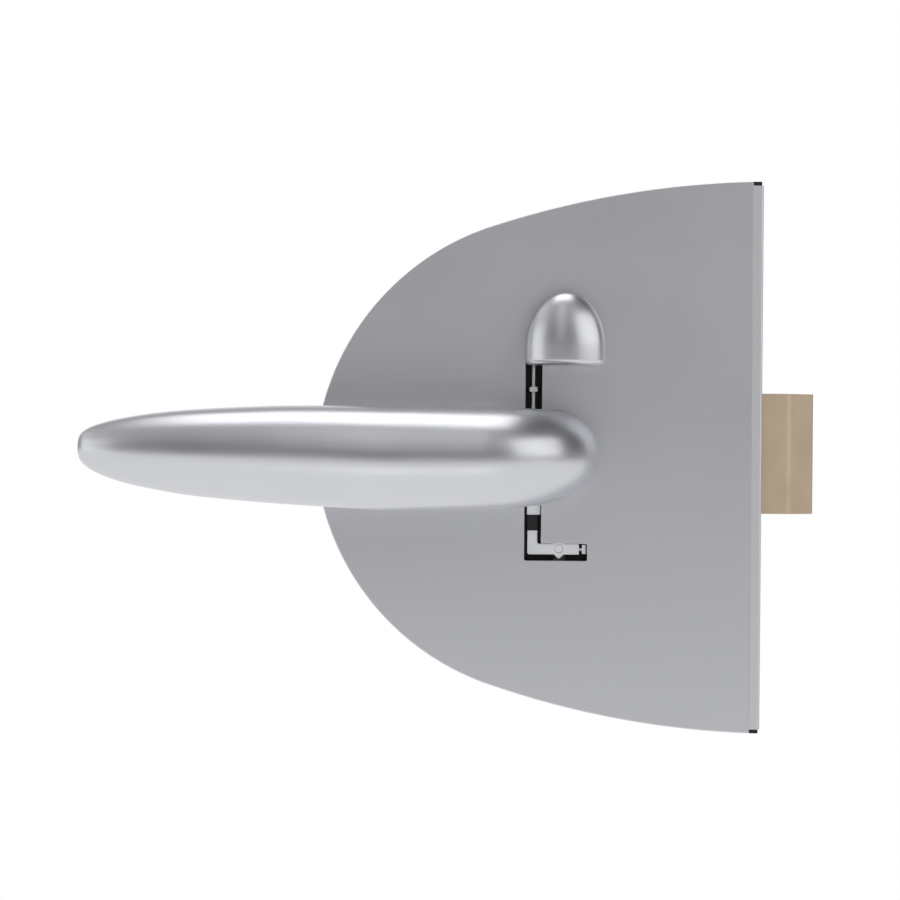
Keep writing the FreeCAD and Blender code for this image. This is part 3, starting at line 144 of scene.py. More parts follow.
# %% Node and colour helpers
MIX_FACTOR, MIX_FIRST, MIX_SECOND, MIX_RESULT = 0, 6, 7, 2


def new_material(name):
    """Material with an empty tree of nodes, and that tree."""
    made = bpy.data.materials.new(name)
    made.use_nodes = True
    made.node_tree.nodes.clear()
    return made, made.node_tree


def add(tree, kind, inputs=None, **settings):
    """Add a node, set its properties, and set or link its inputs."""
    made = tree.nodes.new(kind)
    for name, value in settings.items():
        setattr(made, name, value)
    for name, value in (inputs or {}).items():
        if isinstance(value, bpy.types.NodeSocket):
            tree.links.new(value, made.inputs[name])
        else:
            made.inputs[name].default_value = value
    return made


def colour(code):
    """Linear colour of an sRGB hex code."""
    parts = [int(code[i:i + 2], 16) / 255 for i in (1, 3, 5)]
    return [p / 12.92 if p <= 0.04045 else ((p + 0.055) / 1.055) ** 2.4 for p in parts] + [1.0]


def per_mm(size):
    """Noise scale whose grains are about this many millimetres wide."""
    return 1.0 / (size * MM)


# %% [markdown]
# ## Floor and backdrop
#
# The lock hangs in front of white. Floor and backdrop are pale paper that shows pure white to the
# camera and to reflections, so the metal has something bright to mirror, and that is plain matt paper
# to all other light. The backdrop is kept small, because a wide one lights the rim of the elbow.

# %% Floor and backdrop
bpy.context.scene.view_settings.view_transform = "Standard"
PAPER = "#f2f2f2"
PAPER_GRAIN = 10 / 9
PAPER_GRAIN_STRENGTH = 0.05
FLOOR_SIZE = 6.0
FLOOR_HEIGHT = cad_low.z - 0.17
BACKDROP_SIZE = 3.0
BACKDROP_DEPTH = 1.8


def paper_material():
    """Matt white paper that shows pure white to the eye and in reflections."""
    made, tree = new_material("white_paper")
    path = add(tree, "ShaderNodeLightPath")
    seen = path.outputs["Is Camera Ray"]
    for ray in ("Is Glossy Ray", "Is Transmission Ray"):
        seen = add(tree, "ShaderNodeMath", {0: seen, 1: path.outputs[ray]}, operation="MAXIMUM").outputs[0]
    grain = add(tree, "ShaderNodeTexNoise", {"Scale": per_mm(PAPER_GRAIN), "Detail": 3.0})
    bump = add(tree, "ShaderNodeBump", {"Height": grain.outputs["Fac"], "Strength": PAPER_GRAIN_STRENGTH})
    matt = add(tree, "ShaderNodeBsdfDiffuse", {"Color": colour(PAPER), "Normal": bump.outputs["Normal"]})
    white = add(tree, "ShaderNodeEmission", {"Color": (1, 1, 1, 1), "Strength": 1.0})
    mix = add(tree, "ShaderNodeMixShader", {0: seen, 1: matt.outputs[0], 2: white.outputs[0]})
    add(tree, "ShaderNodeOutputMaterial", {"Surface": mix.outputs[0]})
    return made


def stage_sheet(name, material, size, turn, place):
    """One big square sheet of the set, marked as stage."""
    bm = bmesh.new()
    bmesh.ops.create_grid(bm, x_segments=8, y_segments=8, size=size / 2)
    bmesh.ops.transform(bm, matrix=Matrix.Translation(place) @ turn, verts=bm.verts)
    made = put(name, as_mesh(name, bm))
    made.data.materials.append(material)


paper = paper_material()
stage_sheet("floor", paper, FLOOR_SIZE, Matrix.Identity(4), (0, 0, FLOOR_HEIGHT))
stage_sheet("backdrop", paper, BACKDROP_SIZE, Matrix.Rotation(math.pi / 2, 4, "X"), (0, BACKDROP_DEPTH, 0))
print("floor", round(FLOOR_HEIGHT, 3), "m, backdrop", BACKDROP_DEPTH, "m behind")

# %% [markdown]
# ## The room
#
# Satin metal shows the room around it as soft bands, so the room is made of bands of brightness. It is
# dim at eye level, where the flat covers look straight back at the camera, a little brighter above
# that, and bright high up and to the sides. A darker patch high on the right shades the elbow's edge.
# Each band is a smooth step in one number of a ray's direction: how far it goes up, how far aside, or
# how near to the dark patch. The bands are put together one after the other. The camera itself sees
# white.

# %% Room
EYE_LEVEL, RAISED_LEVEL, HIGH_LEVEL, TOP_LEVEL = 0.12, 0.24, 0.45, 0.5
SIDE_GAIN = 2.1
DARK_GAIN = 0.25
DARK_AIM = Vector((0.7, 0.05, 0.6)).normalized()

world = bpy.data.worlds.new("studio")
bpy.context.scene.world = world
world.use_nodes = True
room = world.node_tree
room.nodes.clear()
way = add(room, "ShaderNodeTexCoord").outputs["Generated"]
part = add(room, "ShaderNodeSeparateXYZ", {"Vector": way})
up = part.outputs["Z"]
aside = add(room, "ShaderNodeMath", {0: part.outputs["X"]}, operation="ABSOLUTE").outputs[0]
to_dark = add(room, "ShaderNodeVectorMath", {0: way, 1: DARK_AIM}, operation="DOT_PRODUCT").outputs["Value"]

bands = {}
for name, along, start, end, before, after in (("raised", up, -0.02, 0.28, EYE_LEVEL, RAISED_LEVEL),
                                               ("high", up, 0.3, 0.7, RAISED_LEVEL, HIGH_LEVEL),
                                               ("sides", aside, 0.35, 0.9, 1.0, SIDE_GAIN),
                                               ("top", up, 0.72, 0.95, 0.0, TOP_LEVEL),
                                               ("dark", to_dark, 0.6, 0.95, 1.0, DARK_GAIN)):
    made = add(room, "ShaderNodeMapRange", {"Value": along, "From Min": start, "From Max": end,
                                            "To Min": before, "To Max": after},
               interpolation_type="SMOOTHSTEP")
    bands[name] = made.outputs["Result"]

camera_ray = add(room, "ShaderNodeLightPath").outputs["Is Camera Ray"]
level = bands["raised"]
for operation, other in (("MAXIMUM", bands["high"]), ("MULTIPLY", bands["sides"]), ("MAXIMUM", bands["top"]),
                         ("MULTIPLY", bands["dark"]), ("MAXIMUM", camera_ray)):
    level = add(room, "ShaderNodeMath", {0: level, 1: other}, operation=operation).outputs[0]
sky = add(room, "ShaderNodeBackground", {"Color": (1, 1, 1, 1), "Strength": level})
add(room, "ShaderNodeOutputWorld", {"Surface": sky.outputs[0]})
print("room levels: eye", EYE_LEVEL, "raised", RAISED_LEVEL, "high", HIGH_LEVEL, "top", TOP_LEVEL)

# %% [markdown]
# ## Lamps
#
# Five soft lamps finish the picture. The top softbox draws the long highlight on the grip and caps the
# knob. The two side softboxes round off the grip's tip and the elbow. The narrow front card gives the
# bright spot on the elbow, and the low card lights the covers from below, which lays the grip's soft
# shadow on the plate above it.

# %% Lamps
# Place, aim, width, height in metres, watts
LAMPS = {
    "top_softbox": ((-0.06, -0.05, 0.75), (-0.06, -0.02, 0), 0.45, 0.55, 1.3),
    "right_softbox": ((0.5, -0.44, 0.26), (0, 0, 0), 0.75, 0.45, 1.05),
    "left_softbox": ((-0.6, -0.35, 0.12), (-0.1, 0, 0), 0.5, 0.4, 0.4),
    "front_card": ((-0.07, -0.5, 0.32), (-0.06, 0, 0), 0.09, 0.45, 0.075),
    "low_card": ((-0.03, -0.58, -0.28), (-0.03, 0, 0), 0.2, 0.1, 0.19),
}
for name, (place, aim, width, height, watts) in LAMPS.items():
    lamp = bpy.data.lights.new(name, "AREA")
    lamp.shape = "RECTANGLE"
    lamp.size = width
    lamp.size_y = height
    lamp.energy = watts
    made = put(name, lamp)
    made.location = place
    made.rotation_euler = (Vector(aim) - Vector(place)).to_track_quat("-Z", "Y").to_euler()
print(len(LAMPS), "lamps")

# %% [markdown]
# ## Metals
#
# Aluminium that has been blasted with fine glass beads and anodised has no direction in its surface.
# It scatters light evenly, so highlights are broad and soft. The covers have that finish. The levers
# and the knob are burnished before they are anodised, so they mirror the lamps more clearly. A metal
# here is a fine grain in the bump, slow clouds in tone and roughness, and a colour between two shades.
# Grains are about a quarter of a millimetre, coarser than the real ones, because finer ones don't show.
# Stretching the noise along one axis turns the grain into brushing or into the marks of a grinder.

# %% Metals
# Nearly all of a noise texture's values lie between these two
NOISE_LOW, NOISE_HIGH = 0.3, 0.7
ROUGH_SPREAD = 0.03
GRAIN_STRENGTH = 0.35


def metal(name, shade, dim, rough, grain, depth, cloud, stretch=(1, 1, 1)):
    """Metal with its lighter and darker shade, its roughness, and its grain and clouds in millimetres."""
    made, tree = new_material(name)
    place = add(tree, "ShaderNodeTexCoord").outputs["Object"]
    along = add(tree, "ShaderNodeMapping", {"Vector": place, "Scale": stretch}).outputs[0]
    fine = add(tree, "ShaderNodeTexNoise", {"Vector": along, "Scale": per_mm(grain), "Detail": 2.0,
                                            "Roughness": 0.6})
    clouds = add(tree, "ShaderNodeTexNoise", {"Vector": along, "Scale": per_mm(cloud), "Detail": 4.0,
                                              "Roughness": 0.55}).outputs["Fac"]
    tone = add(tree, "ShaderNodeMix", {MIX_FACTOR: clouds, MIX_FIRST: colour(dim),
                                       MIX_SECOND: colour(shade)}, data_type="RGBA")
    roughness = add(tree, "ShaderNodeMapRange", {"Value": clouds, "From Min": NOISE_LOW,
                                                 "From Max": NOISE_HIGH, "To Min": rough + ROUGH_SPREAD,
                                                 "To Max": rough - ROUGH_SPREAD})
    bump = add(tree, "ShaderNodeBump", {"Height": fine.outputs["Fac"], "Strength": GRAIN_STRENGTH,
                                        "Distance": depth * MM})
    shader = add(tree, "ShaderNodeBsdfPrincipled", {"Base Color": tone.outputs[MIX_RESULT],
                                                    "Metallic": 1.0, "Roughness": roughness.outputs[0],
                                                    "Normal": bump.outputs[0]})
    add(tree, "ShaderNodeOutputMaterial", {"Surface": shader.outputs[0]})
    return made


# Levers, knob and release disc: long soft highlights with clear dark bands between them
burnished = metal("burnished_anodised_aluminium", "#d2d3d7", "#cacbd0",
                  rough=0.3, grain=0.2, depth=0.012, cloud=40)
# Covers: an even grey, in which a lamp shows only as a broad glow
blasted = metal("bead_blasted_anodised_aluminium", "#d4d5d9", "#cccdd2",
                rough=0.37, grain=0.25, depth=0.016, cloud=40)
# Forend: upright hairlines, a touch brighter than the covers
brushed = metal("brushed_stainless_strip", "#dcdce0", "#cbcbcf",
                rough=0.45, grain=0.25, depth=0.02, cloud=6, stretch=(1, 1, 0.03))
# Latch and bolt: a warm grey that hardly mirrors
nickel = metal("dull_nickel_plate", "#d6c4ad", "#c8b59e", rough=0.6, grain=0.3, depth=0.01, cloud=12)
# Rods, adjusting collar and foot in the windows: the brightest metal, nearly white
zinc = metal("bright_zinc_plate", "#f7f8f9", "#eceef0", rough=0.5, grain=0.3, depth=0.01, cloud=5)
# Spindle, follower, pins and tails: a cool grey with fine lines that run into the door
tool_steel = metal("ground_tool_steel", "#a3a6aa", "#8f9296",
                   rough=0.32, grain=0.25, depth=0.02, cloud=8, stretch=(1, 0.08, 1))
# Plates, posts and blocks inside: a mottled grey, duller than the rods
plated = metal("zinc_plated_sheet", "#c0c4c7", "#a9adb1", rough=0.42, grain=0.4, depth=0.02, cloud=9)
# Screws: a darker grey that still mirrors, so that their sockets show
screw_steel = metal("blackened_screw_steel", "#8b8d91", "#77797d",
                    rough=0.36, grain=0.25, depth=0.015, cloud=4)
# Springs: the darkest metal, with the even sheen of oiled wire
spring_steel = metal("oiled_spring_steel", "#74767b", "#5e6065",
                     rough=0.33, grain=0.3, depth=0.01, cloud=5)
# The follower's bush: a warm yellow among the greys, with fine lines along its axis
brass = metal("turned_brass", "#d0b072", "#b99653",
              rough=0.3, grain=0.25, depth=0.015, cloud=6, stretch=(1, 0.1, 1))
print("aluminium finishes:", burnished.name, "and", blasted.name)

# %% [markdown]
# ## Plastics and rubber
#
# Acetal bushes and the ABS liner come out of a mould with a faintly pebbled skin, which a Voronoi
# texture gives. EPDM rubber sheet is duller and coarser. None is a metal, so they keep the default index
# of refraction, which suits plastics, and only their roughness and grain set them apart.

# %% Plastics and rubber
MOULD_CLOUD = 15
MOULD_SPREAD = 0.06
PEBBLE_STRENGTH = 0.4


def moulded(name, shade, dim, rough, pebble, depth):
    """Plastic or rubber with two shades, its roughness, and its pebbled skin in millimetres."""
    made, tree = new_material(name)
    place = add(tree, "ShaderNodeTexCoord").outputs["Object"]
    skin = add(tree, "ShaderNodeTexVoronoi", {"Vector": place, "Scale": per_mm(pebble)})
    clouds = add(tree, "ShaderNodeTexNoise", {"Vector": place, "Scale": per_mm(MOULD_CLOUD),
                                              "Detail": 3.0}).outputs["Fac"]
    tone = add(tree, "ShaderNodeMix", {MIX_FACTOR: clouds, MIX_FIRST: colour(dim),
                                       MIX_SECOND: colour(shade)}, data_type="RGBA")
    roughness = add(tree, "ShaderNodeMapRange", {"Value": clouds, "To Min": rough + MOULD_SPREAD,
                                                 "To Max": rough - MOULD_SPREAD})
    bump = add(tree, "ShaderNodeBump", {"Height": skin.outputs["Distance"], "Strength": PEBBLE_STRENGTH,
                                        "Distance": depth * MM})
    shader = add(tree, "ShaderNodeBsdfPrincipled", {"Base Color": tone.outputs[MIX_RESULT],
                                                    "Roughness": roughness.outputs[0],
                                                    "Normal": bump.outputs[0]})
    add(tree, "ShaderNodeOutputMaterial", {"Surface": shader.outputs[0]})
    return made


# Collars, bushes and washers: near black with a soft sheen
acetal = moulded("moulded_acetal", "#1a1a1b", "#141415", rough=0.42, pebble=0.5, depth=0.01)
# Liner, coupler and forend end caps: black plastic made the darkest of all, so that it also
# paints in the shade inside the case behind the windows and at the forend's ends
painted_shade_and_black_abs = moulded("moulded_painted_shade_and_black_abs", "#0c0c0d", "#070708", rough=0.5, pebble=0.6, depth=0.02)
# Gaskets and latch buffer: black with hardly a highlight
rubber = moulded("epdm_rubber_sheet", "#1c1c1d", "#141415", rough=0.75, pebble=0.8, depth=0.04)

material_for_slot = {
    "satin_aluminium": burnished,
    "brushed_forend": brushed,
    "latch_metal": nickel,
    "bright_steel": zinc,
    "tool_steel": tool_steel,
    "zinc_steel": plated,
    "screw_steel": screw_steel,
    "spring_steel": spring_steel,
    "turned_brass": brass,
    "bearing_plastic": acetal,
    "black_plastic": painted_shade_and_black_abs,
    "gasket_rubber": rubber,
}
print(len(material_for_slot), "slots:", ", ".join(material_for_slot))

# %% [markdown]
# ## Finished pieces
#
# A finished piece carries one material, moves with the body of one CAD node and hides that node. Smooth
# shading
# with sharp edges kept by angle gives turned and blasted faces their even look, while real corners stay
# crisp. Weighted Normal then lets the large faces win over the small rounds beside them, so a flat face
# with broken edges still looks flat.

# %% Finish a piece
SMOOTH_ANGLE = math.radians(32)


def finish_piece(name, bm, material, node):
    """Make an object of a bmesh with one material, move it with a CAD node's body, and hide that node."""
    mesh = as_mesh(name, bm)
    mesh.materials.append(material)
    mesh.shade_smooth()
    mesh.set_sharp_from_angle(angle=SMOOTH_ANGLE)
    made = put(name, mesh)
    even = made.modifiers.new("even_shading", "WEIGHTED_NORMAL")
    even.keep_sharp = True
    even.weight = 100
    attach(made, body_of[node])
    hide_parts(node)
    return made


# %% [markdown]
# ## Broken edges
#
# No edge on a machined or pressed piece is perfectly sharp: deburring leaves a round of a tenth or two
# of a millimetre, and that round catches the light as a thin line. Bevel does it on any bmesh. The CAD
# meshes come as loose triangles, so a copy is merged and its flat faces are joined before its edges are
# bevelled.

# %% Broken edges
DOUBLES = 0.0005 * MM
FLAT_ANGLE = math.radians(0.4)


def deburr(bm, width, from_angle=50):
    """Round every edge sharper than an angle by a small width in millimetres."""
    sharp = [e for e in bm.edges if e.calc_face_angle(0) > math.radians(from_angle)]
    bmesh.ops.bevel(bm, geom=sharp, offset=width * MM, offset_type="OFFSET", segments=2, profile=0.5,
                    affect="EDGES", clamp_overlap=True, material=-1)
    return bm


def broken_edges(node, width):
    """Merged copy of a CAD node's mesh whose sharp edges are slightly rounded."""
    bm = bmesh.new()
    bm.from_mesh(nodes[node].data)
    bmesh.ops.remove_doubles(bm, verts=bm.verts, dist=DOUBLES)
    bmesh.ops.dissolve_limit(bm, angle_limit=FLAT_ANGLE, verts=bm.verts, edges=bm.edges,
                             delimit={"NORMAL"})
    return deburr(bm, width, from_angle=35)


# %% [markdown]
# ## Cutting and smoothing on the bench
#
# Some steps are easier with a modifier than with an operator: a Boolean cuts a bore through a curved
# wall, and Subdivision Surface turns a coarse sweep into an even skin. This helper runs one modifier
# on a bmesh and gives back the finished bmesh, so the next operator can go on from there.

# %% Modifier bench and cutters
def bench(bm, kind, tool=None, **settings):
    """Run one modifier on a bmesh; a tool is a second bmesh, for a Boolean."""
    made = [put("bench", as_mesh("bench", shape)) for shape in (bm, tool) if shape is not None]
    modifier = made[0].modifiers.new("bench", kind)
    if tool is not None:
        modifier.object = made[1]
    for name, value in settings.items():
        setattr(modifier, name, value)
    shaped = made[0].evaluated_get(bpy.context.evaluated_depsgraph_get())
    result = bmesh.new()
    result.from_mesh(shaped.to_mesh())
    shaped.to_mesh_clear()
    for old in made:
        mesh = old.data
        bpy.data.objects.remove(old)
        bpy.data.meshes.remove(mesh)
    return result


def cut(bm, tool):
    """Take one closed shape away from another."""
    return bench(bm, "BOOLEAN", tool, operation="DIFFERENCE", solver="EXACT")


def bore(bm, radius, place, axis, length, wide=None, segments=64):
    """Cut a round hole, or a cone where the far end is wider, starting at a place along an axis."""
    tool = bmesh.new()
    turn = Vector(axis).to_track_quat("Z", "Y").to_matrix().to_4x4()
    middle = Vector(place) * MM + Vector(axis).normalized() * length * MM / 2
    bmesh.ops.create_cone(tool, cap_ends=True, segments=segments, radius1=radius * MM,
                          radius2=(radius if wide is None else wide) * MM, depth=length * MM,
                          matrix=Matrix.Translation(middle) @ turn)
    return cut(bm, tool)


def slot_cut(bm, low, high, corner):
    """Cut a box through a wall; its four edges along Y are rounded."""
    tool = bmesh.new()
    bmesh.ops.create_cube(tool, size=1)
    size = (Vector(high) - Vector(low)) * MM
    middle = (Vector(high) + Vector(low)) * MM / 2
    bmesh.ops.transform(tool, matrix=Matrix.LocRotScale(middle, None, size), verts=tool.verts)
    along = [e for e in tool.edges if abs(e.verts[0].co.y - e.verts[1].co.y) > size.y / 2]
    bmesh.ops.bevel(tool, geom=along, offset=corner * MM, offset_type="OFFSET", segments=4,
                    profile=0.5, affect="EDGES", material=-1)
    return cut(bm, tool)


# %% [markdown]
# ## The lever handles
#
# On the real lock this is one aluminium casting: a round neck that turns through a full elbow into a
# cigar shaped grip. It could be carved from a cylinder, but a sweep is closer to how the form is
# drawn: a row of sections along a bent axis, each an ellipse of its own height and depth. They stand
# close together at the shoulder and the tip, where the outline turns quickly.

# %% Lever sections
GRIP_Y = COVER_FACE / MM - 36.0
ELBOW_RADIUS = 18.0
ELBOW_Y = GRIP_Y + ELBOW_RADIUS
NECK_END_Y = COVER_FACE / MM - 2.0
JOURNAL_END_Y = COVER_FACE / MM + 2.1
# Y and radius of the round sections: the journal in its collar, the shoulder, then the neck
NECK = [(JOURNAL_END_Y, 9.3), (JOURNAL_END_Y - 0.1, 9.9), (JOURNAL_END_Y - 0.5, 10),
        (JOURNAL_END_Y - 3.7, 10), (NECK_END_Y + 0.02, 10.1), (NECK_END_Y, 11.3),
        (NECK_END_Y - 0.02, 11.8), (NECK_END_Y - 0.3, 12.0), (NECK_END_Y - 1.5, 12.03),
        (NECK_END_Y - 4.5, 12.2), (NECK_END_Y - 9, 12.6)]
# Half width, half height and height of the centre, in even steps round the elbow
ELBOW = [(12.85, 12.6, 0.0), (12.95, 12.7, -0.05), (13.0, 12.85, -0.12), (13.1, 13.05, -0.2),
         (13.15, 13.3, -0.32), (13.15, 13.55, -0.45), (13.1, 13.75, -0.58), (13.05, 13.9, -0.7),
         (13.0, 14.0, -0.8)]
# Distance from the neck's axis, height of the centre, half height, half depth
GRIP = [(21, -0.86, 14.05, 12.9), (25, -0.9, 14.1, 12.7), (30, -0.95, 14.15, 12.45),
        (35, -0.98, 14.2, 12.2), (41, -1.02, 14.25, 12.0), (48, -1.05, 14.3, 11.9),
        (55, -0.85, 14.15, 11.75), (62, -0.6, 13.95, 11.6), (69, -0.45, 13.75, 11.4),
        (76, -0.3, 13.5, 11.2), (82, -0.2, 13.15, 10.9), (89, -0.1, 12.7, 10.5),
        (95, 0.0, 12.3, 10.15), (101, 0.1, 11.75, 9.7), (106, 0.25, 11.15, 9.25),
        (111, 0.4, 10.4, 8.6), (115, 0.5, 9.7, 8.05), (119, 0.6, 8.85, 7.35), (122, 0.75, 8.05, 6.7),
        (125, 0.9, 7.05, 5.85), (127.3, 1.05, 6.1, 5.1), (129.2, 1.2, 5.0, 4.2),
        (130.5, 1.3, 3.8, 3.2), (131.1, 1.4, 2.2, 1.9), (131.2, 1.4, 0.9, 0.8)]


def section(centre, across, half_across, half_height):
    """Matrix that lays a unit circle down as an upright ellipse."""
    upright = Vector((0, 0, 1))
    columns = (across * half_across * MM, upright * half_height * MM, across.cross(upright))
    made = Matrix(columns).transposed().to_4x4()
    made.translation = centre * MM
    return made


def lever_sections():
    """Every section of the sweep, from the journal to the tip."""
    made = [section(Vector((0, y, 0)), Vector((1, 0, 0)), r, r) for y, r in NECK]
    for step, (half_across, half_height, height) in enumerate(ELBOW):
        angle = math.radians(90) * step / (len(ELBOW) - 1)
        centre = Vector((-ELBOW_RADIUS + ELBOW_RADIUS * math.cos(angle),
                         ELBOW_Y - ELBOW_RADIUS * math.sin(angle), height))
        across = Vector((math.cos(angle), -math.sin(angle), 0))
        made.append(section(centre, across, half_across, half_height))
    for distance, height, half_height, half_depth in GRIP:
        centre = Vector((-distance, GRIP_Y, height))
        made.append(section(centre, Vector((0, -1, 0)), half_depth, half_height))
    return made


print(len(lever_sections()), "sections")

# %% [markdown]
# ## Sweeping the levers
#
# One circle is placed on the first section, and its edge loop is extruded from section to section.
# Subdivision Surface then gives the even skin of a burnished casting, and a Boolean cuts the hole for
# the grub screw. The rear handle is the same piece, mirrored across the pane.

# %% Levers
GRUB_HOLE = 2.55
GRUB_FROM_COVER = 9.0
GRUB_HOLE_LOW, GRUB_HOLE_LENGTH = -20, 16


def sweep(sections, segments=48):
    """Extrude a circle's edge loop through the sections and close both ends."""
    bm = bmesh.new()
    bmesh.ops.create_circle(bm, segments=segments, radius=1, matrix=sections[0])
    loop = bm.edges[:]
    bmesh.ops.edgeloop_fill(bm, edges=loop)
    for before, after in zip(sections, sections[1:]):
        grown = bmesh.ops.extrude_edge_only(bm, edges=loop)["geom"]
        points = [g for g in grown if isinstance(g, bmesh.types.BMVert)]
        bmesh.ops.transform(bm, matrix=after @ before.inverted(), verts=points)
        fresh = set(points)
        loop = [g for g in grown if isinstance(g, bmesh.types.BMEdge) and fresh.issuperset(g.verts)]
    bmesh.ops.edgeloop_fill(bm, edges=loop)
    bmesh.ops.recalc_face_normals(bm, faces=bm.faces)
    return bm


def lever():
    """Front handle with the hole for its grub screw."""
    bm = bench(sweep(lever_sections()), "SUBSURF", levels=2, render_levels=2)
    hole = (0, COVER_FACE / MM - GRUB_FROM_COVER, GRUB_HOLE_LOW)
    return bore(bm, GRUB_HOLE, hole, (0, 0, 1), GRUB_HOLE_LENGTH)


def rear_of(bm):
    """The same piece turned over for the rear of the lock."""
    rear_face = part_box("rear_cover")[1].y
    turn = Matrix.Translation((0, rear_face + COVER_FACE, 0)) @ Matrix.Scale(-1, 4, (0, 1, 0))
    bmesh.ops.transform(bm, matrix=turn, verts=bm.verts)
    bmesh.ops.recalc_face_normals(bm, faces=bm.faces)
    return bm


front = finish_piece("front_lever_handle", lever(), burnished, "front_lever")
rear = finish_piece("rear_lever_handle", rear_of(lever()), burnished, "rear_lever")
print("lever faces", len(front.data.polygons), len(rear.data.polygons))

# %% [markdown]
# ## The outline of the covers
#
# Each cover is a shallow cast shell. Its outline is three arcs a side that run into each other: a nose,
# a shoulder and a long flat back. A single point spun round each arc's centre in turn draws half of it,
# Mirror gives the other half, and extruding the filled outline gives the block. The arcs have many
# steps, because a lamp at a grazing angle shows the facets of a coarser wall.

# %% Outline
NOSE, NOSE_RADIUS = Vector((-8.1, 0, 0)), 59.1
SHOULDER_RADIUS, BACK_RADIUS = 73.7, 257.0
SHOULDER_ANGLE, BACK_ANGLE = 0.3044, 1.2453
NOSE_STEPS, SHOULDER_STEPS, BACK_STEPS = 40, 160, 48
RIM_ROUND = 0.3
SEAM = 0.001 * MM
CLOSE = 0.01 * MM


def towards(angle):
    """Unit vector at an angle above the way to the nose."""
    return Vector((-math.cos(angle), 0, math.sin(angle)))


def half_moon(inset, right, front_y, back_y):
    """Solid block with the outline of the case, moved inwards and cut straight at the right."""
    shoulder = NOSE + towards(SHOULDER_ANGLE) * (NOSE_RADIUS - SHOULDER_RADIUS)
    back = shoulder + towards(BACK_ANGLE) * (SHOULDER_RADIUS - BACK_RADIUS)
    end_angle = math.acos((back.x - right) / (BACK_RADIUS - inset))
    bm = bmesh.new()
    tip = NOSE + towards(0) * (NOSE_RADIUS - inset) + Vector((0, front_y, 0))
    last = [bmesh.ops.create_vert(bm, co=tip * MM)["vert"][0]]
    for centre, angle, steps in ((NOSE, SHOULDER_ANGLE, NOSE_STEPS),
                                 (shoulder, BACK_ANGLE - SHOULDER_ANGLE, SHOULDER_STEPS),
                                 (back, end_angle - BACK_ANGLE, BACK_STEPS)):
        spun = bmesh.ops.spin(bm, geom=last, cent=centre * MM, axis=(0, 1, 0), angle=angle, steps=steps)
        last = [g for g in spun["geom_last"] if isinstance(g, bmesh.types.BMVert)]
    bmesh.ops.mirror(bm, geom=bm.verts[:] + bm.edges[:], axis="Z", merge_dist=SEAM)
    bmesh.ops.remove_doubles(bm, verts=bm.verts, dist=SEAM)
    ends = [v for v in bm.verts if len(v.link_edges) == 1]
    bmesh.ops.contextual_create(bm, geom=ends)
    face = bmesh.ops.edgeloop_fill(bm, edges=bm.edges)["faces"]
    grown = bmesh.ops.extrude_face_region(bm, geom=face, use_keep_orig=True)["geom"]
    points = [g for g in grown if isinstance(g, bmesh.types.BMVert)]
    bmesh.ops.translate(bm, vec=(0, (back_y - front_y) * MM, 0), verts=points)
    bmesh.ops.recalc_face_normals(bm, faces=bm.faces)
    return bm


def rounded_rim(bm, face_y, square_x=math.inf):
    """Round the rim of one face, all but a straight side at a given X."""
    def on_rim(edge):
        flat = all(abs(v.co.y - face_y * MM) < CLOSE for v in edge.verts)
        closing = all(abs(v.co.x - square_x * MM) < CLOSE for v in edge.verts)
        return flat and not closing
    rim = [e for e in bm.edges if on_rim(e)]
    bmesh.ops.bevel(bm, geom=rim, offset=RIM_ROUND * MM, offset_type="OFFSET", segments=5, profile=0.5,
                    affect="EDGES", material=-1)
    return bm


print("outline steps a side:", NOSE_STEPS + SHOULDER_STEPS + BACK_STEPS)

# %% [markdown]
# ## The front cover
#
# The rim is rounded with Bevel, except where the forend closes the case, and a smaller copy of the same
# block hollows the shell. Then come the holes: the upper window, the lower one with its foot to the
# right, the hole for the lever's collar and the one for the knob's bush. Every cutter starts in front
# of the face and ends inside the hollow, so its length doesn't show.

# %% Front cover
WALL = 2.0
COVER_EDGE = 0.15
COLLAR_HOLE, BUSH_HOLE = 12.0, 5.0
# Y where the cutters of each cover start, and how far they go
FRONT_CUT_Y, REAR_CUT_Y, CUT_LENGTH = -30, 5, 15
WINDOW_LEFT, WINDOW_RIGHT = -7.7, -2.9
UPPER_LOW, UPPER_HIGH = 13.0, 27.0
LOWER_LOW, LOWER_HIGH = -30.0, -13.5
FOOT_RIGHT, FOOT_HIGH = 10.3, -25.1
WINDOW_CORNER = 0.5

front_low, front_high = box_mm("front_cover")
# Rounded to a thousandth, because a mesh keeps its places only to about seven digits
knob_axis = Vector([round(v, 3) for v in sum(box_mm("knob_bush"), Vector()) / 2])
shell = rounded_rim(half_moon(0, front_high.x, front_low.y, front_high.y), front_low.y, front_high.x)
shell = cut(shell, half_moon(WALL, front_high.x + 1, front_low.y + WALL, front_high.y + 1))
for low, right, high in ((UPPER_LOW, WINDOW_RIGHT, UPPER_HIGH), (LOWER_LOW, WINDOW_RIGHT, LOWER_HIGH),
                         (LOWER_LOW, FOOT_RIGHT, FOOT_HIGH)):
    shell = slot_cut(shell, (WINDOW_LEFT, FRONT_CUT_Y, low), (right, FRONT_CUT_Y + CUT_LENGTH, high),
                     WINDOW_CORNER)
shell = bore(shell, COLLAR_HOLE, (0, FRONT_CUT_Y, 0), (0, 1, 0), CUT_LENGTH, segments=96)
shell = bore(shell, BUSH_HOLE, (knob_axis.x, FRONT_CUT_Y, knob_axis.z), (0, 1, 0), CUT_LENGTH)
front_shell = finish_piece("front_cover_shell", deburr(shell, COVER_EDGE), blasted, "front_cover")
print("front cover faces", len(front_shell.data.polygons))

# %% [markdown]
# ## The rear cover
#
# The rear cover is shallower and closed on all sides, so its whole rim is rounded. Three countersunk
# screws hold it. Its cutters start just before the open side and run out through the face. A
# countersink is a cone that ends a little outside the face, so that the Boolean never has to cut along
# the face itself.

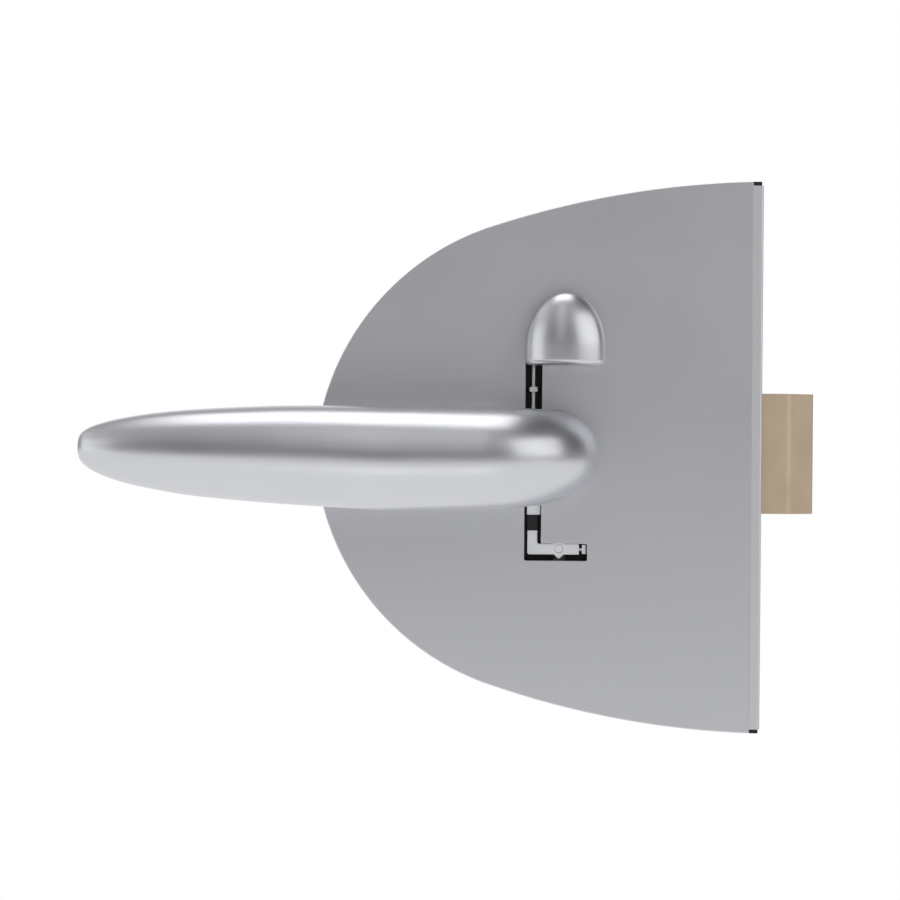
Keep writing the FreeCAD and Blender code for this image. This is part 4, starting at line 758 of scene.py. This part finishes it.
# %% Rear cover
SCREW_PLACES = ((-58.2, 0), (34, 68.07), (34, -68.07))
SCREW_HOLE = 2.05
SINK_RADIUS, SINK_DEPTH, SINK_PAST_FACE = 2.0, 1.8, 1.0

rear_low, rear_high = box_mm("rear_cover")
shell = rounded_rim(half_moon(0, rear_high.x, rear_high.y, rear_low.y), rear_high.y)
shell = cut(shell, half_moon(WALL, rear_high.x - WALL, rear_high.y - WALL, rear_low.y - 1))
shell = bore(shell, COLLAR_HOLE, (0, REAR_CUT_Y, 0), (0, 1, 0), CUT_LENGTH, segments=96)
shell = bore(shell, BUSH_HOLE, (knob_axis.x, REAR_CUT_Y, knob_axis.z), (0, 1, 0), CUT_LENGTH)
for x, z in SCREW_PLACES:
    sink_length = SINK_DEPTH + SINK_PAST_FACE
    shell = bore(shell, SCREW_HOLE, (x, REAR_CUT_Y, z), (0, 1, 0), CUT_LENGTH)
    shell = bore(shell, SINK_RADIUS, (x, rear_high.y - SINK_DEPTH, z), (0, 1, 0), sink_length,
                 wide=SINK_RADIUS + sink_length)
rear_shell = finish_piece("rear_cover_shell", deburr(shell, COVER_EDGE), blasted, "rear_cover")
print("rear cover faces", len(rear_shell.data.polygons))

# %% [markdown]
# ## The turn knob
#
# The knob is a shallow dome on a straight back, cut off flat below, so that thumb and finger find its
# edges. A sphere is cut in half, stretched to the knob's size and its open rim is drawn out to the
# back. A second cut takes the lower half away, and that rim is drawn out down to the flat base. The
# base gets a broader round than a deburred edge, because the photograph shows a bright line along it.

# %% Knob
# Half width, height above the widest place, and height of that place above the base
KNOB_HALF_WIDTH, KNOB_RISE, KNOB_WIDEST = 11.2, 15.6, 5.0
# Depth of the dome and of the straight back behind it
KNOB_DOME, KNOB_BACK = 6.0, 7.5
KNOB_BASE_ROUND = 1.5
# Height of the flat base above the spindle, and the gap between the knob's back and the cover
KNOB_BASE, KNOB_GAP = 25.7, 0.7
KNOB_GRUB_HOLE, KNOB_GRUB_FROM_COVER, KNOB_GRUB_LENGTH = 1.55, 5.2, 8
TINY = 0.001 * MM


def halve(bm, keep):
    """Cut away the side of the origin that a direction points away from; give back the cut's edges."""
    everything = bm.verts[:] + bm.edges[:] + bm.faces[:]
    halved = bmesh.ops.bisect_plane(bm, geom=everything, dist=1e-7, plane_co=(0, 0, 0), plane_no=keep,
                                    clear_inner=True)["geom_cut"]
    return [g for g in halved if isinstance(g, bmesh.types.BMEdge)]


def draw_out(bm, rim, offset):
    """Extrude an open rim by an offset and close it with a flat face."""
    grown = bmesh.ops.extrude_edge_only(bm, edges=rim)["geom"]
    points = {g for g in grown if isinstance(g, bmesh.types.BMVert)}
    bmesh.ops.translate(bm, vec=Vector(offset) * MM, verts=list(points))
    end = [g for g in grown if isinstance(g, bmesh.types.BMEdge) and points.issuperset(g.verts)]
    bmesh.ops.edgeloop_fill(bm, edges=end)


def knob():
    """Stretched dome with a flat base and the hole for its grub screw."""
    bm = bmesh.new()
    turn = Matrix.Rotation(math.pi / 2, 4, "X")
    bmesh.ops.create_uvsphere(bm, u_segments=72, v_segments=48, radius=1, matrix=turn)
    rim = halve(bm, (0, -1, 0))
    bmesh.ops.scale(bm, vec=(KNOB_HALF_WIDTH * MM, KNOB_DOME * MM, KNOB_RISE * MM), verts=bm.verts)
    draw_out(bm, rim, (0, KNOB_BACK, 0))
    draw_out(bm, halve(bm, (0, 0, 1)), (0, 0, -KNOB_WIDEST))
    bmesh.ops.recalc_face_normals(bm, faces=bm.faces)

    def on_base(edge):
        low = all(v.co.z < -KNOB_WIDEST * MM + TINY for v in edge.verts)
        at_back = all(v.co.y > KNOB_BACK * MM - TINY for v in edge.verts)
        return low and not at_back and edge.calc_face_angle(0) > 1

    bmesh.ops.bevel(bm, geom=[e for e in bm.edges if on_base(e)], offset=KNOB_BASE_ROUND * MM,
                    offset_type="OFFSET", segments=5, profile=0.5, affect="EDGES", material=-1)
    middle = Vector((knob_axis.x, COVER_FACE / MM - KNOB_GAP - KNOB_BACK, KNOB_BASE + KNOB_WIDEST))
    bmesh.ops.translate(bm, vec=middle * MM, verts=bm.verts)
    hole = (knob_axis.x, COVER_FACE / MM - KNOB_GRUB_FROM_COVER, KNOB_BASE - 1)
    return bore(bm, KNOB_GRUB_HOLE, hole, (0, 0, 1), KNOB_GRUB_LENGTH, segments=32)


turn_knob = finish_piece("turn_knob_dome", knob(), burnished, "knob")
print("knob faces", len(turn_knob.data.polygons))

# %% [markdown]
# ## Everything else
#
# All other pieces have their true form in the CAD already: plates, pins, screws, springs, rods and the
# latch. Each becomes a copy with broken edges and the finish of its slot. Thin or small pieces get a
# finer round, because a wide one would eat their flat faces. So do the latch and the bolt, to keep
# their outlines crisp.

# %% Finish the other pieces
USUAL_EDGE = 0.2
FINE_EDGES = {"adjusting_collar": 0.1, "lever_washers": 0.1, "shaft_clip": 0.1, "return_spring": 0.15,
              "window_liner": 0.1, "foot_end_piece": 0.12, "latch_head": 0.08, "bolt_head": 0.08}
drawn = {"front_lever", "rear_lever", "front_cover", "rear_cover", "knob"}
others = {}
for node in sorted(set(nodes) - drawn):
    others[node] = finish_piece(node + "_finished", broken_edges(node, FINE_EDGES.get(node, USUAL_EDGE)),
                                material_for_slot[slot_of[node]], node)
print(len(others), "CAD pieces finished with broken edges")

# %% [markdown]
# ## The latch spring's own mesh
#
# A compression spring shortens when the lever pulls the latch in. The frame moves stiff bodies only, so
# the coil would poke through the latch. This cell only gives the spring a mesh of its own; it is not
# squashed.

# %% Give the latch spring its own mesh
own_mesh(others["latch_spring"])
